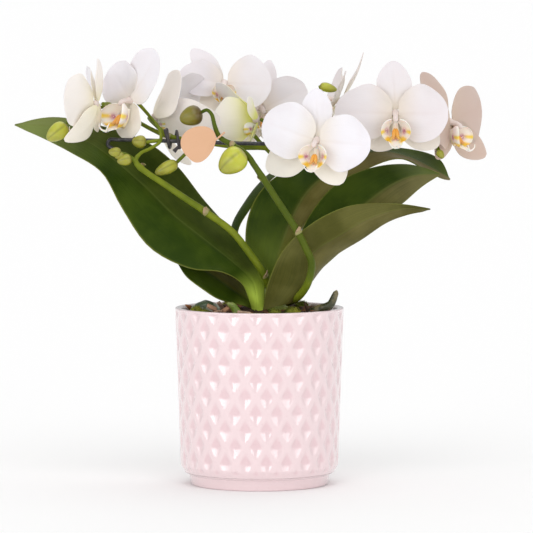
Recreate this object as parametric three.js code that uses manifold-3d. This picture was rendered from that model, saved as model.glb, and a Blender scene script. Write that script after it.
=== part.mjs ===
// A potted multiflora moth orchid: ten white blooms on four spikes over six leaves, rooted in bark
// in a clear nursery pot that stands inside a pink glazed pot with a net of diamond hollows.
// Millimetres, +Z up. The origin is the centre of the glazed pot's flat base, and -Y is the front.
import * as THREE from "three";
import { mergeVertices } from "three/addons/utils/BufferGeometryUtils.js";
import Module from "manifold-3d";

const wasm = await Module();
wasm.setup();

// Driving dimensions

const GAP = 0.35; // clearance between pieces that touch

const POT_HEIGHT = 113.5;
const POT_RIM_RADIUS = 54;
const POT_LOW_RADIUS = 50.4; // at the foot of the diamond net
const POT_WALL = 4.6;
const POT_FLOOR_TOP = 8.5;
const FOOT_RADIUS = 43.6;
const FOOT_HEIGHT = 7;
const FOOT_TOP_RADIUS = 45.4;
const NET_COLUMNS = 24; // whole diamonds round the pot
const NET_HALF_ROW = 10.55; // half the height of a diamond
const NET_CELL_HEIGHT = 70.4; // height of one hollow's centre on the column at NET_TURN
const NET_TURN = -2.5; // degrees from the front, towards +X
const NET_DEPTH = 1.7;
const NET_BOTTOM = 13;
const NET_TOP = 109.5;
const POT_SHOULDER = 10.2; // where the wall starts above the stepped foot

const NURSERY_HEIGHT = 90;
const NURSERY_TOP_RADIUS = 44.5;
const NURSERY_LOW_RADIUS = 33;
const NURSERY_WALL = 1.0;
const NURSERY_RIM = 5; // height of the rolled rim
const NURSERY_RIM_STEP = 2; // how far it stands out from the wall
const DRAIN_RADIUS = 4;
const DRAIN_RING = 19; // from the pot's axis to a drain hole
const DRAIN_SIDES = 8;
const FILL_SIDES = 16; // round the nursery pot and the bark in it

const BARK_SURFACE = 110;
const BARK_RADIUS = 48.4;
const CHIP_COUNT = 12;
const CHIP_TURN = 2.4; // radians from one chip to the next
const CHIP_NEAR = 5;
const CHIP_FAR = 42;
const CHIP_TILT = 0.9;

const LEAF_THICKNESS = 1.7;
const TEPAL_THICKNESS = 0.8;
const WIRE_RADIUS = 1.25;
const CLIP_THICKNESS = 0.9; // radius of a clip's bar
const TENDRIL_RADIUS = 0.5;
const HEART_RADIUS = 3.6; // where the tepals and the stalk of a bloom meet
const HEART_FLATNESS = 0.7;

const TAG_WIDTH = 22.5;
const TAG_HEIGHT = 23;
const TAG_THICKNESS = 0.8;
const TAG_CENTRE = [-38.4, -47.6, 219.5];
// The hook that runs from the tag round the stem beside it
const TAG_HOOK = [
  [-31, -47.6, 218.6, 0.6], [-27.6, -47.7, 221.8, 0.6], [-24.8, -48.2, 224.2, 0.6],
  [-22, -45.4, 226.6, 0.6], [-24.8, -41.9, 224, 0.6],
];

// A leaf is a list of stations from its base to its tip. Each station gives three points across it:
// one margin, the midrib and the other margin.
const LEAVES = {
  leaf_left_long: [
    [[-4.5, -9, 112.2], [-1.5, -12, 112.2], [3, -12.5, 112.2]],
    [[-6.5, -12, 118], [-2, -14, 119], [3, -11, 120]],
    [[-11, -19, 129.5], [-5, -13, 131], [3, -3, 137]],
    [[-24, -27, 137.5], [-17, -15, 143], [-6, 0, 150]],
    [[-44, -32, 140.5], [-34, -18, 157], [-20, 2, 165]],
    [[-69, -36, 154], [-55, -20, 174], [-36, 0, 183]],
    [[-87, -34, 179], [-72, -20, 191], [-53, -2, 204]],
    [[-100, -27, 201], [-92, -17, 208], [-72, -3, 219]],
    [[-119, -18, 213], [-110, -12, 220], [-102, -2, 230]],
    [[-138, -9, 222], [-133, -6, 228], [-130, 0, 235]],
    [[-155, -2.5, 229], [-156, -2, 230], [-155, -1.5, 231]],
  ],
  leaf_left_short: [
    [[-5, -2, 113], [-4, 2, 115], [-2, 8, 118]],
    [[-14, -11, 116], [-12, -3, 121], [-9, 8, 128]],
    [[-29, -21, 122], [-28, -7, 133], [-22, 6, 142]],
    [[-45, -20, 133], [-42, -10, 143], [-38, 1, 152]],
    [[-54, -11, 145], [-52, -8, 149], [-49, -3, 155]],
    [[-61, -5.5, 152], [-62, -5, 153], [-60, -4, 154]],
  ],
  leaf_back_arching: [
    [[2, 10, 117], [6, 6, 116], [11, 12, 117]],
    [[-8, 15, 144], [12, 8, 146], [21, 14, 152]],
    [[-8, 20, 168], [21, 12, 169], [32, 12, 169]],
    [[2, 24, 188], [31, 16, 186], [46, 12, 183]],
    [[24, 28, 203], [48, 20, 200], [59, 12, 196]],
    [[55, 29, 213], [72, 21, 211], [84, 12, 207.5]],
    [[90, 25, 214], [92, 16, 209], [94, 9, 207]],
    [[115, 16, 208], [109, 10, 202], [108, 6, 200]],
    [[122, 7, 196], [122, 6, 195], [121, 5, 194]],
  ],
  leaf_right: [
    [[9, 4, 118], [13, -2, 116], [18, 4, 116]],
    [[21, 7, 144], [28, -2, 139], [37, -7, 136]],
    [[32, 10, 171], [51, -3, 166], [63, -12, 159]],
    [[49, 10, 192], [69, -4, 180], [80, -12, 172]],
    [[72, 8, 202], [84, -4, 191], [92, -11, 181]],
    [[94, 4, 205], [98, -4, 197], [102, -9, 190]],
    [[114, -3, 200], [115, -3.5, 198.5], [113, -4, 197]],
  ],
  leaf_front_right: [
    [[2, -14, 112.4], [16, -20, 117], [27, -10, 120]],
    [[6, -21, 132], [29, -24, 134], [35, -14, 134]],
    [[16, -30, 153], [33, -28, 150], [47, -16, 146]],
    [[36, -35, 171], [50, -30, 162], [64, -19, 158]],
    [[57, -34, 180], [70, -28, 173], [80, -20, 168]],
    [[84, -25, 181], [90, -22, 178], [95, -18, 174]],
    [[107, -16, 178], [108.5, -15, 177], [106, -14, 176]],
  ],
  leaf_back_upright: [
    [[2, 14, 118], [0, 22, 116], [3, 28, 118]],
    [[-9, 17, 141], [-11, 26, 141], [-8, 36, 143]],
    [[-14, 22, 161], [-18, 30, 160], [-15, 42, 162]],
    [[-4, 28, 178], [-8, 36, 180], [-5, 48, 181]],
    [[8, 34, 194], [4, 42, 194], [7, 52, 196]],
    [[21, 42, 204], [18, 47, 204], [20, 53, 206]],
    [[28, 50, 210], [28.5, 51.5, 211], [28, 53, 210]],
  ],
};

// A spike is a green stem with its flower stalks and buds. Every point of a stem is x, y, z and radius.
// A bud is its base, its tip and its greatest radius, and a node is a papery ring on the stem.
const SPIKES = {
  spike_front_left: {
    stems: [
      [[8, -2, 121, 2.6], [3, -13, 135, 2.4], [-9, -21, 153, 2.3], [-18, -25, 164, 2.2],
        [-34, -29, 176, 2.1], [-56, -32, 191, 2], [-78, -33, 208, 1.9], [-75, -31, 213, 1.5],
        [-69, -27, 216, 1.4], [-63, -24, 220, 1.3], [-63, -17, 227, 1.2], [-70, -8, 236, 1.1],
        [-77.5, -6.5, 244.5, 1.2]],
      [[-78, -33, 208, 1.5], [-83, -34, 212, 1.1], [-89, -34, 214, 0.9]],
      [[-80, -33.5, 210, 1], [-82, -34.5, 209, 0.9]],
      [[-63, -23, 221, 1.2], [-72.5, -25, 219.8, 1.1]],
    ],
    nodes: [[-34, -29, 176, 2.8], [-74, -33, 205, 2.6]],
    buds: [
      [[-87, -34, 213.6], [-95, -34, 214.2], 3.2],
      [[-85, -34, 212.5], [-91, -34.5, 210.6], 2.2],
      [[-80.5, -34, 209.8], [-89.5, -35, 208], 3.7],
      [[-71.5, -25, 219.7], [-80.5, -26.3, 220.6], 4.3],
    ],
  },
  spike_front_right: {
    stems: [
      [[18, -6, 117, 2.6], [25, -22, 122, 2.5], [31, -32, 132, 2.4], [33, -36, 144, 2.3],
        [29, -38, 154, 2.2], [24, -40, 164, 2.2], [10, -44, 186, 2.1], [-3, -46, 206, 1.9],
        [-8, -46, 213, 1.8], [-17, -46, 219, 1.7], [-25, -45, 224, 1.6], [-28, -44, 231, 1.4],
        [-30, -42, 238, 1.2], [-33, -40, 240.6, 1.1], [-37, -38, 238.8, 1.1]],
      [[-8, -46, 213, 1.4], [-11, -47, 214, 1.3]],
    ],
    nodes: [[24, -40, 164, 2.8], [2, -45.2, 198.5, 2.6], [-17, -46, 219, 2.2]],
    buds: [
      [[-36, -38, 238.8], [-50, -36.5, 234.3], 6.6],
      [[-9.5, -47.5, 214.5], [-24.5, -49, 202.5], 8.6],
    ],
  },
  spike_back_left: {
    stems: [
      [[15, 13, 117, 2.6], [20, 25, 149, 2.5], [23, 31, 180, 2.4], [20, 30, 200, 2.3],
        [13, 10, 211, 2.2], [4, -10, 216, 2], [-12, -14, 216.6, 1.9], [-38, -14, 220, 1.7],
        [-57, -14, 223, 1.5], [-70, -4, 228, 1.3], [-84, 3, 236, 1.2], [-94, -6, 243, 1.1],
        [-99, -21, 244, 1.2]],
      [[-57, -14, 223, 1.4], [-64, -9, 228.5, 1.2], [-69, -1, 232.5, 1.1], [-70.5, 4, 234.3, 1.2]],
      [[20, 30, 200, 1.5], [2, 30, 216, 1.3], [-15, 33, 238, 1.2], [-24, 33, 255, 1.2]],
      [[13, 10, 211, 1.4], [10, 6, 222, 1.2], [4, 1, 231, 1.1], [1, -1, 233.8, 1.2]],
      [[-38, -14, 220, 1.2], [-46, -18, 213, 1.1], [-53, -20.4, 206.3, 1.1]],
      [[-94, -6, 243, 1.1], [-106, -4, 240, 1], [-119, -13, 236, 1], [-123, -21.8, 230, 1]],
    ],
    nodes: [[-57, -14, 223, 2.2], [-12, -14, 216.6, 2.5]],
    buds: [
      [[-52, -20.2, 206.6], [-66, -24, 200], 4.3],
      [[-122, -21.3, 230.4], [-134, -26, 221.5], 5.8],
    ],
  },
  spike_back_right: {
    stems: [
      [[20, 9, 117, 2.6], [28, 24, 152, 2.5], [35, 33, 187, 2.4], [41, 30, 210, 2.3],
        [48, 18, 222, 2.1], [66, 10, 227, 2], [90, 6, 227, 1.8], [109, 10, 224, 1.5],
        [115, 17, 226, 1.2], [118.5, 18.5, 230.5, 1.2]],
      [[66, 10, 227, 1.3], [63, 30, 235, 1.1], [54.6, 49, 242.4, 1.2]],
      [[41, 30, 210, 1.4], [30, 46, 226, 1.1], [12, 50, 235, 1.1], [2, 47.5, 237.5, 1.2]],
      [[41, 30, 210, 1.4], [38, 10, 217, 1.2], [35, -14, 221, 1.1], [36.9, -30.5, 221.5, 1.2]],
      [[90, 6, 227, 1.3], [87, -2, 234, 1.1], [86.3, -10, 237.6, 1.2]],
      [[48, 18, 222, 1.3], [44, 5, 238, 1.1], [38.5, -4, 255, 1]],
      [[109, 10, 224, 1.3], [113, 4, 217, 1.2], [114.5, 1, 213.5, 1.2]],
    ],
    nodes: [[66, 10, 227, 2.6], [90, 6, 227, 2.4]],
    buds: [
      [[38.5, -4, 255.3], [49.3, -4, 252.3], 3.1],
      [[114, 1.6, 213.6], [117.2, -1, 208.8], 2.5],
    ],
  },
};

// A bloom is its centre, the way it faces and its five tepals. "turn" is degrees from the front
// towards +X and "lift" degrees upwards. A tepal is its angle round the face (90 is up, 0 is to the
// right of someone facing the bloom), its length, its width, the degrees it leans forwards, and how
// far its tip bends on, as a share of its length.
const BLOOMS = {
  far_left: {
    centre: [-103, -24, 244], turn: -105, lift: 0, lip: 1,
    sepals: [[90, 31, 15, -10, 0.18], [228, 23, 18, 4, 0.1], [-53, 33, 21, 4, 0.45]],
    petals: [[146, 33, 32, 6, 0.3], [8, 33, 34, 16, 0.05]],
  },
  left: {
    centre: [-81.7, -10, 246], turn: -48, lift: 8, lip: 1.2,
    sepals: [[118, 24, 19, -8, 0], [208, 30, 20, 4, 0], [-84, 26, 25, 4, 0]],
    petals: [[127, 27, 33, 8, 0], [47, 42, 31, 4, 0.05]],
  },
  middle_left: {
    centre: [-67.5, 4, 235], turn: 95, lift: 10, lip: 0.55,
    sepals: [[128, 38, 32, 35, 0], [300, 44, 26, 13, 0.25], [-20, 36, 24, 28, 0.15]],
    petals: [[196, 44, 28, 42, 0.22], [36, 44, 34, 52, 0.05]],
  },
  top: {
    centre: [-22.7, 28, 256], turn: 0, lift: 14, lip: 0.9,
    sepals: [[134, 31, 14, 4, 0], [242, 26, 19, 0, 0], [-52, 24, 20, 0, 0]],
    petals: [[172, 30, 24, 8, 0], [-4, 31, 36, 8, 0]],
  },
  middle_turned: {
    centre: [-1.5, -1, 233.8], turn: -95, lift: 0, lip: 0.65,
    sepals: [[50, 18, 16, 20, 0], [258, 28, 20, 16, 0.3], [-168, 26, 20, 30, 0.1]],
    petals: [[-8, 32, 31, 55, 0], [125, 36, 34, 48, 0]],
  },
  middle_back: {
    centre: [1.5, 44, 239], turn: 6, lift: 8, lip: 0.85,
    sepals: [[80, 34, 13, 4, -0.1], [235, 27, 19, 0, 0], [-60, 27, 19, 0, 0]],
    petals: [[158, 24, 30, 8, 0], [26, 32, 28, 8, 0]],
  },
  front: {
    centre: [36.2, -34, 221.5], turn: -14, lift: 0, lip: 1.05,
    sepals: [[89, 33, 20.5, 6, 0], [211, 38, 24, 2, 0], [-60, 32, 23, 2, 0]],
    petals: [[160, 37, 36, 10, -0.06], [-4, 38, 36, 12, -0.06]],
  },
  right: {
    centre: [86.2, -14, 238], turn: 0, lift: -6, lip: 1.1,
    sepals: [[93, 34, 22, 6, 0], [238, 28, 24, 2, 0], [-38, 35, 22, 2, 0]],
    petals: [[177, 40, 36, 10, -0.06], [1, 35, 37, 12, -0.06]],
  },
  far_right: {
    centre: [122, 16, 231.5], turn: 55, lift: 0, lip: 1,
    sepals: [[127, 40, 20, -8, 0], [236, 28, 19, 2, 0], [-40, 38, 22, 4, 0.25]],
    petals: [[186, 28, 30, 8, 0], [14, 38, 38, 0, 0]],
  },
  back_turned: {
    centre: [51.5, 50, 244], turn: -90, lift: 27, lip: 0.8,
    sepals: [[90, 37, 16, -5, 0.12], [228, 24, 17, 2, 0], [-48, 22, 17, 2, 0]],
    petals: [[146, 28, 26, 14, 0.05], [30, 28, 26, 6, 0.05]],
  },
};

const WIRES = {
  wire_left: [
    [-93, -21, 215.5], [-96, -19, 218], [-95, -18, 221], [-88, -18, 221.2], [-50, -19, 220.2],
    [-12, -19, 219], [6, -17, 218.6], [22, -8, 218], [31, 10, 217], [35, 29, 214], [36, 41, 204],
    [28, 42, 167], [14, 34, 122], [13, 28, 84], [13, 26, 51],
  ],
  wire_right: [
    [82, -1, 213.5], [81, 0, 218], [76, 4, 221.5], [62, 12, 221], [52, 28, 217],
    [47, 42, 206], [37, 44, 167], [22, 36, 122], [20, 28, 84], [20, 26, 51],
  ],
};

// Open plastic loops that hold a spike against its wire: the loop's centre and radius, and its grip's end
const CLIPS = {
  clip_left_inner: { centre: [-51.5, -16.4, 221.2], radius: 5.4, tail: [-54, -21, 214] },
  clip_left_outer: { centre: [-57.8, -16.2, 221.9], radius: 5.9, tail: [-59.5, -22, 228] },
  clip_right: { centre: [76, 6.2, 224.2], radius: 6.5, tail: [80, -3.5, 218] },
};

const ROOTS = {
  root_left: [
    [-26, -11, 104, 3.4], [-28, -14, 112, 4], [-34, -15, 114.8, 4.2], [-40, -14, 112, 3.8],
    [-42, -12, 104, 3.4],
  ],
  root_stub: [[-14, -28, 103, 3.2], [-15.5, -31, 112, 3.2], [-15, -31, 117, 2.8]],
  root_right: [
    [31, -20, 104, 3], [34, -22, 111.5, 3.1], [40, -24, 114.6, 2.9], [45, -25, 117, 2.6],
    [47.3, -25, 121.5, 2.2], [48.4, -25, 124.4, 1.8], [48.8, -25, 125.9, 0.8],
  ],
};

// The short trunk that the leaves, the spikes and the roots all grow from
const CROWN = [[9, 1, 92, 7], [9, 1, 104, 9], [9, 2, 114, 9], [10, 2, 122, 7.5], [11, 3, 130, 4.5]];

// Inside a bloom, in its own frame with +Z out of its face and +Y up it
const COLUMN = [[0, 0, 0, 2.7], [0, -0.8, 6, 2.4], [0, -2.8, 10.5, 1.7]];
const LIP_CLAW = [[0, -4.8, 1.8, 1.5], [0, -10, 2.6, 2], [0, -16.4, 5.4, 2.2]];
const CALLUS = { centre: [0, -14.8, 7.2], radius: 2.1 };

const COLOURS = {
  glaze: 0xf0d3d6,
  clear: 0xdfe6e2,
  bark: 0x5a3a24,
  leaf: 0x35551a,
  stem: 0x6f9132,
  root: 0x7d8660,
  bloom: 0xf6f0ee,
  lip: 0xf7ead0,
  wire: 0x2a2b2e,
  tag: 0xf0c3a5,
};

// Solids: every shape is made as a closed geometry and joined or cut as a solid

function solid(geometry) {
  const bare = geometry.index ? geometry.toNonIndexed() : geometry.clone();
  bare.deleteAttribute("normal");
  bare.deleteAttribute("uv");
  const merged = mergeVertices(bare, 1e-4);
  return new wasm.Manifold(
    new wasm.Mesh({
      numProp: 3,
      vertProperties: merged.attributes.position.array,
      triVerts: new Uint32Array(merged.index.array),
    }),
  );
}

function join(solids) {
  return solids.reduce((whole, piece) => whole.add(piece));
}

// The largest body of a solid, without the scraps that a cut leaves
function largestBody(whole) {
  const bodies = whole.decompose();
  return bodies.reduce((best, body) => (body.volume() > best.volume() ? body : best));
}

function geometryOf(whole) {
  const mesh = whole.getMesh();
  const positions = new Float32Array(mesh.numVert * 3);
  for (let i = 0; i < mesh.numVert; i++) {
    const at = i * mesh.numProp;
    positions.set(mesh.vertProperties.subarray(at, at + 3), i * 3);
  }
  const geometry = new THREE.BufferGeometry();
  geometry.setAttribute("position", new THREE.BufferAttribute(positions, 3));
  geometry.setIndex(new THREE.BufferAttribute(mesh.triVerts, 1));
  geometry.computeVertexNormals();
  return geometry;
}

function closedGeometry(positions, index) {
  const geometry = new THREE.BufferGeometry();
  geometry.setAttribute("position", new THREE.Float32BufferAttribute(positions, 3));
  geometry.setIndex(index);
  return geometry;
}

// A thin closed blade about the surface point(u, v), for u along it and v across it from 0 to 1.
// Both faces are split alike, so that a waved blade never crosses itself.
function blade(point, along, across, thickness) {
  const positions = [];
  const index = [];
  const row = across + 1;
  const face = (along + 1) * row;
  const step = 1e-3;
  for (const side of [0.5, -0.5])
    for (let i = 0; i <= along; i++)
      for (let j = 0; j <= across; j++) {
        const u = i / along;
        const v = j / across;
        const alongWay = point(u + step, v).sub(point(u - step, v));
        const acrossWay = point(u, v + step).sub(point(u, v - step));
        const normal = alongWay.cross(acrossWay).normalize();
        const at = point(u, v).addScaledVector(normal, side * thickness);
        positions.push(at.x, at.y, at.z);
      }
  for (let i = 0; i < along; i++)
    for (let j = 0; j < across; j++) {
      const a = i * row + j;
      const b = a + row;
      index.push(a, b, b + 1, a, b + 1, a + 1);
      index.push(face + a, face + b + 1, face + b, face + a, face + a + 1, face + b + 1);
    }
  const rim = [];
  for (let i = 0; i < along; i++) rim.push(i * row);
  for (let j = 0; j < across; j++) rim.push(along * row + j);
  for (let i = along; i > 0; i--) rim.push(i * row + across);
  for (let j = across; j > 0; j--) rim.push(j);
  rim.forEach((a, k) => {
    const b = rim[(k + 1) % rim.length];
    index.push(b, a, face + a, b, face + a, face + b);
  });
  return solid(closedGeometry(positions, index));
}

// A round stem through points of x, y, z and radius, with its two ends capped. Every point has a
// ring of its own, with "between" steps from each ring to the next.
function stem(points, sides, between, grow = 0) {
  const knots = points.map(([x, y, z]) => new THREE.Vector3(x, y, z));
  const curve = new THREE.CatmullRomCurve3(knots, false, "centripetal");
  const steps = (points.length - 1) * between;
  const positions = [];
  const index = [];
  let along = curve.getTangent(0);
  let side = new THREE.Vector3(0.31, 0.22, 0.93).cross(along).normalize();
  for (let i = 0; i <= steps; i++) {
    const next = curve.getTangent(i / steps);
    side.applyQuaternion(new THREE.Quaternion().setFromUnitVectors(along, next));
    along = next;
    const before = Math.min(Math.floor(i / between), points.length - 2);
    const part = i / between - before;
    const radius = THREE.MathUtils.lerp(points[before][3], points[before + 1][3], part) + grow;
    const past = i === 0 ? -grow : i === steps ? grow : 0;
    const at = curve.getPoint(i / steps).addScaledVector(along, past);
    const other = along.clone().cross(side);
    for (let k = 0; k < sides; k++) {
      const angle = (2 * Math.PI * k) / sides;
      const p = at.clone();
      p.addScaledVector(side, radius * Math.cos(angle));
      p.addScaledVector(other, radius * Math.sin(angle));
      positions.push(p.x, p.y, p.z);
    }
  }
  for (let i = 0; i < steps; i++)
    for (let k = 0; k < sides; k++) {
      const a = i * sides + k;
      const b = i * sides + ((k + 1) % sides);
      index.push(a, b, b + sides, a, b + sides, a + sides);
    }
  const last = steps * sides;
  for (let k = 1; k < sides - 1; k++) {
    index.push(0, k + 1, k);
    index.push(last, last + k, last + k + 1);
  }
  return solid(closedGeometry(positions, index));
}

// A turned solid from the axis out and back: points of radius and height, upwards on the outside
function turned(profile, sides) {
  const points = profile.map(([radius, height]) => new THREE.Vector2(radius, height));
  const geometry = new THREE.LatheGeometry(points, sides);
  geometry.rotateX(Math.PI / 2);
  return solid(geometry);
}

function ball(radius, sides, rings) {
  return new THREE.SphereGeometry(radius, sides, rings);
}

// A bud: an egg from its base to its tip, fullest nearer the base
function bud([base, tip, radius], grow = 0) {
  const from = new THREE.Vector3(...base);
  const to = new THREE.Vector3(...tip);
  const length = from.distanceTo(to);
  const egg = ball(1, 6, 4);
  const position = egg.attributes.position;
  for (let i = 0; i < position.count; i++) {
    const y = position.getY(i);
    const waist = 1 - 0.22 * y - 0.08 * y * y;
    const wide = (radius + grow) * waist;
    position.setXYZ(i, position.getX(i) * wide, y * (length / 2 + grow), position.getZ(i) * wide);
  }
  const along = to.clone().sub(from).normalize();
  egg.applyQuaternion(new THREE.Quaternion().setFromUnitVectors(new THREE.Vector3(0, 1, 0), along));
  egg.translate(...from.add(to).multiplyScalar(0.5).toArray());
  return solid(egg);
}

// The glazed pot

// The net: its ridges cross at the outer surface, and between them each diamond sinks to its centre
function glazedPot() {
  const columns = NET_COLUMNS * 2;
  const ringsBelow = 3;
  const turn = THREE.MathUtils.degToRad(NET_TURN);
  const rows = [];
  const rowsBelow = Math.floor((NET_CELL_HEIGHT - NET_BOTTOM) / NET_HALF_ROW);
  const rowsAbove = Math.floor((NET_TOP - NET_CELL_HEIGHT) / NET_HALF_ROW);
  for (let j = -rowsBelow; j <= rowsAbove; j++) rows.push(j);
  const outerRadius = (height) =>
    THREE.MathUtils.mapLinear(height, POT_SHOULDER, POT_HEIGHT, POT_LOW_RADIUS, POT_RIM_RADIUS);
  const inner = POT_RIM_RADIUS - POT_WALL;
  const profile = [
    () => [FOOT_RADIUS, 0],
    () => [FOOT_TOP_RADIUS, FOOT_HEIGHT],
    () => [POT_LOW_RADIUS - 1.3, POT_SHOULDER],
    ...rows.map((j) => (i) => {
      const height = NET_CELL_HEIGHT + j * NET_HALF_ROW;
      const hollow = (i + j) % 2 === 0;
      return [outerRadius(height) - (hollow ? NET_DEPTH : 0), height];
    }),
    () => [POT_RIM_RADIUS, POT_HEIGHT - 1.6],
    () => [POT_RIM_RADIUS - 1.2, POT_HEIGHT],
    () => [inner + 0.6, POT_HEIGHT],
    () => [POT_LOW_RADIUS - POT_WALL - 0.6, POT_FLOOR_TOP + 4],
    () => [POT_LOW_RADIUS - POT_WALL - 4.6, POT_FLOOR_TOP],
  ];
  const positions = [];
  const index = [];
  for (const ring of profile)
    for (let i = 0; i < columns; i++) {
      const [radius, height] = ring(i);
      const angle = turn + (i * Math.PI) / NET_COLUMNS;
      positions.push(radius * Math.sin(angle), -radius * Math.cos(angle), height);
    }
  for (let j = 0; j < profile.length - 1; j++)
    for (let i = 0; i < columns; i++) {
      const a = j * columns + i;
      const b = j * columns + ((i + 1) % columns);
      const c = b + columns;
      const d = a + columns;
      const netRow = rows[j - ringsBelow];
      if (netRow !== undefined && (i + netRow) % 2 === 0) index.push(a, b, d, b, c, d);
      else index.push(a, b, c, a, c, d);
    }
  const foot = positions.length / 3;
  const floor = foot + 1;
  positions.push(0, 0, 0, 0, 0, POT_FLOOR_TOP);
  const lastRing = (profile.length - 1) * columns;
  for (let i = 0; i < columns; i++) {
    const next = (i + 1) % columns;
    index.push(foot, next, i, floor, lastRing + i, lastRing + next);
  }
  return solid(closedGeometry(positions, index));
}

function nurseryPot() {
  const low = POT_FLOOR_TOP + GAP;
  const top = low + NURSERY_HEIGHT;
  const rimRadius = NURSERY_TOP_RADIUS + 1.4;
  const cup = turned(
    [
      [0, low],
      [NURSERY_LOW_RADIUS, low],
      [rimRadius - NURSERY_RIM_STEP, top - NURSERY_RIM - NURSERY_WALL],
      [rimRadius, top - NURSERY_RIM],
      [rimRadius, top],
      [rimRadius - NURSERY_WALL, top],
      [rimRadius - NURSERY_WALL - NURSERY_RIM_STEP, top - NURSERY_RIM],
      [NURSERY_LOW_RADIUS - NURSERY_WALL, low + NURSERY_WALL],
      [0, low + NURSERY_WALL],
    ],
    FILL_SIDES,
  );
  const drains = [0, 1, 2, 3].map((k) => {
    const drain = new THREE.CylinderGeometry(DRAIN_RADIUS, DRAIN_RADIUS, 6 * NURSERY_WALL, DRAIN_SIDES);
    drain.rotateX(Math.PI / 2);
    const angle = ((k + 0.5) * Math.PI) / 2;
    drain.translate(DRAIN_RING * Math.cos(angle), DRAIN_RING * Math.sin(angle), low);
    return solid(drain);
  });
  return drains.reduce((whole, drain) => whole.subtract(drain), cup);
}

// Bark fills the nursery pot, spreads over its rim, and ends in loose chips
function bark() {
  const low = POT_FLOOR_TOP + GAP + NURSERY_WALL + GAP;
  const rim = POT_FLOOR_TOP + GAP + NURSERY_HEIGHT;
  const inside = NURSERY_TOP_RADIUS - 1.6 - GAP;
  const body = turned(
    [
      [0, low],
      [NURSERY_LOW_RADIUS - NURSERY_WALL - GAP, low],
      [inside - 0.3, rim - NURSERY_RIM],
      [NURSERY_TOP_RADIUS - 0.6, rim],
      [NURSERY_TOP_RADIUS, rim + GAP + 0.3],
      [BARK_RADIUS, rim + 1.4],
      [BARK_RADIUS, BARK_SURFACE - 2.5],
      [BARK_RADIUS - 4, BARK_SURFACE],
      [0, BARK_SURFACE + 1.5],
    ],
    FILL_SIDES,
  );
  const draw = seeded(11);
  const chips = [];
  for (let k = 0; k < CHIP_COUNT; k++) {
    const radius = CHIP_NEAR + (CHIP_FAR - CHIP_NEAR) * Math.sqrt((k + 0.5) / CHIP_COUNT);
    const angle = k * CHIP_TURN;
    const chip = new THREE.BoxGeometry(5 + 5 * draw(), 4 + 4 * draw(), 3.4 + 3 * draw());
    chip.rotateX(CHIP_TILT * (draw() - 0.5));
    chip.rotateY(CHIP_TILT * (draw() - 0.5));
    chip.rotateZ(Math.PI * draw());
    chip.translate(radius * Math.cos(angle), radius * Math.sin(angle), BARK_SURFACE + 0.6 + draw());
    chips.push(solid(chip));
  }
  return join([body, ...chips]);
}

// A repeatable draw from 0 to 1
function seeded(seed) {
  let state = seed;
  return () => {
    state = (state * 1664525 + 1013904223) % 4294967296;
    return state / 4294967296;
  };
}

// The plant

function crown(grow = 0) {
  return stem(CROWN, 10, 1, grow);
}

// A leaf follows three lines from base to tip, and bends evenly from margin to midrib to margin
function leaf(stations, grow = 0) {
  const lines = [0, 1, 2].map((k) => {
    const points = stations.map((station) => new THREE.Vector3(...station[k]));
    return new THREE.CatmullRomCurve3(points, false, "centripetal");
  });
  const point = (u, v) => {
    const t = THREE.MathUtils.clamp(u, 0, 1);
    const [one, rib, other] = lines.map((line) => line.getPoint(t));
    const s = 2 * v - 1;
    const half = other.clone().sub(one).multiplyScalar(s / 2);
    const bow = one.clone().add(other).multiplyScalar(0.5).sub(rib).multiplyScalar(s * s);
    return rib.clone().add(half).add(bow);
  };
  const inset = (u, v) => point(0.002 + 0.996 * u, v);
  return blade(inset, 8, 4, LEAF_THICKNESS + 2 * grow);
}

function spike({ stems, nodes, buds }, grow = 0) {
  const pieces = stems.map((points) => stem(points, 5, 1, grow));
  for (const [x, y, z, radius] of nodes) {
    const ring = ball(radius + grow, 5, 3);
    ring.translate(x, y, z);
    pieces.push(solid(ring));
  }
  for (const each of buds) pieces.push(bud(each, grow));
  return join(pieces);
}

// The outline of a tepal: its half width at t along it, for a greatest half width of 1
function petalHalfWidth(t) {
  return Math.pow(Math.sin(Math.PI * Math.pow(t, 0.88)), 0.52);
}

function sepalHalfWidth(t) {
  return Math.pow(Math.sin(Math.PI * Math.pow(t, 1.08)), 0.62);
}

// A tepal grows out from the bloom's centre, in the bloom's own frame with +Z out of its face
function tepal([angle, length, width, lean, bend], halfWidth, steps, lift, grow = 0) {
  const turn = THREE.MathUtils.degToRad(angle);
  const tilt = THREE.MathUtils.degToRad(lean);
  const point = (u, v) => {
    const ring = 0.5 - 0.5 * Math.cos(Math.PI * THREE.MathUtils.clamp(u, 0, 1));
    const t = 0.02 + 0.955 * ring;
    const s = 2 * v - 1;
    const side = 0.5 * width * halfWidth(t) * s;
    const reach = 1.5 + (length - 1.5) * t;
    const out = reach * Math.cos(tilt) - 0.3 * Math.abs(bend) * length * t * t;
    const cup = 0.07 * width * s * s * Math.sin(Math.PI * t);
    const rise = lift + reach * Math.sin(tilt) + bend * length * t * t * t + cup;
    return new THREE.Vector3(
      out * Math.cos(turn) - side * Math.sin(turn),
      out * Math.sin(turn) + side * Math.cos(turn),
      rise,
    );
  };
  return blade(point, ...steps, TEPAL_THICKNESS + 2 * grow);
}

// The bloom's own frame: +Z out of its face, +Y up its face
function facing({ centre, turn, lift }) {
  const matrix = new THREE.Matrix4();
  const way = new THREE.Vector3(0, -1, 0);
  way.applyAxisAngle(new THREE.Vector3(1, 0, 0), -THREE.MathUtils.degToRad(lift));
  way.applyAxisAngle(new THREE.Vector3(0, 0, 1), THREE.MathUtils.degToRad(turn));
  const right = new THREE.Vector3(0, 0, 1).cross(way).normalize();
  const up = way.clone().cross(right);
  matrix.makeBasis(right, up, way);
  matrix.setPosition(...centre);
  return matrix;
}

function placed(whole, matrix) {
  return whole.transform(matrix.elements);
}

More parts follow.
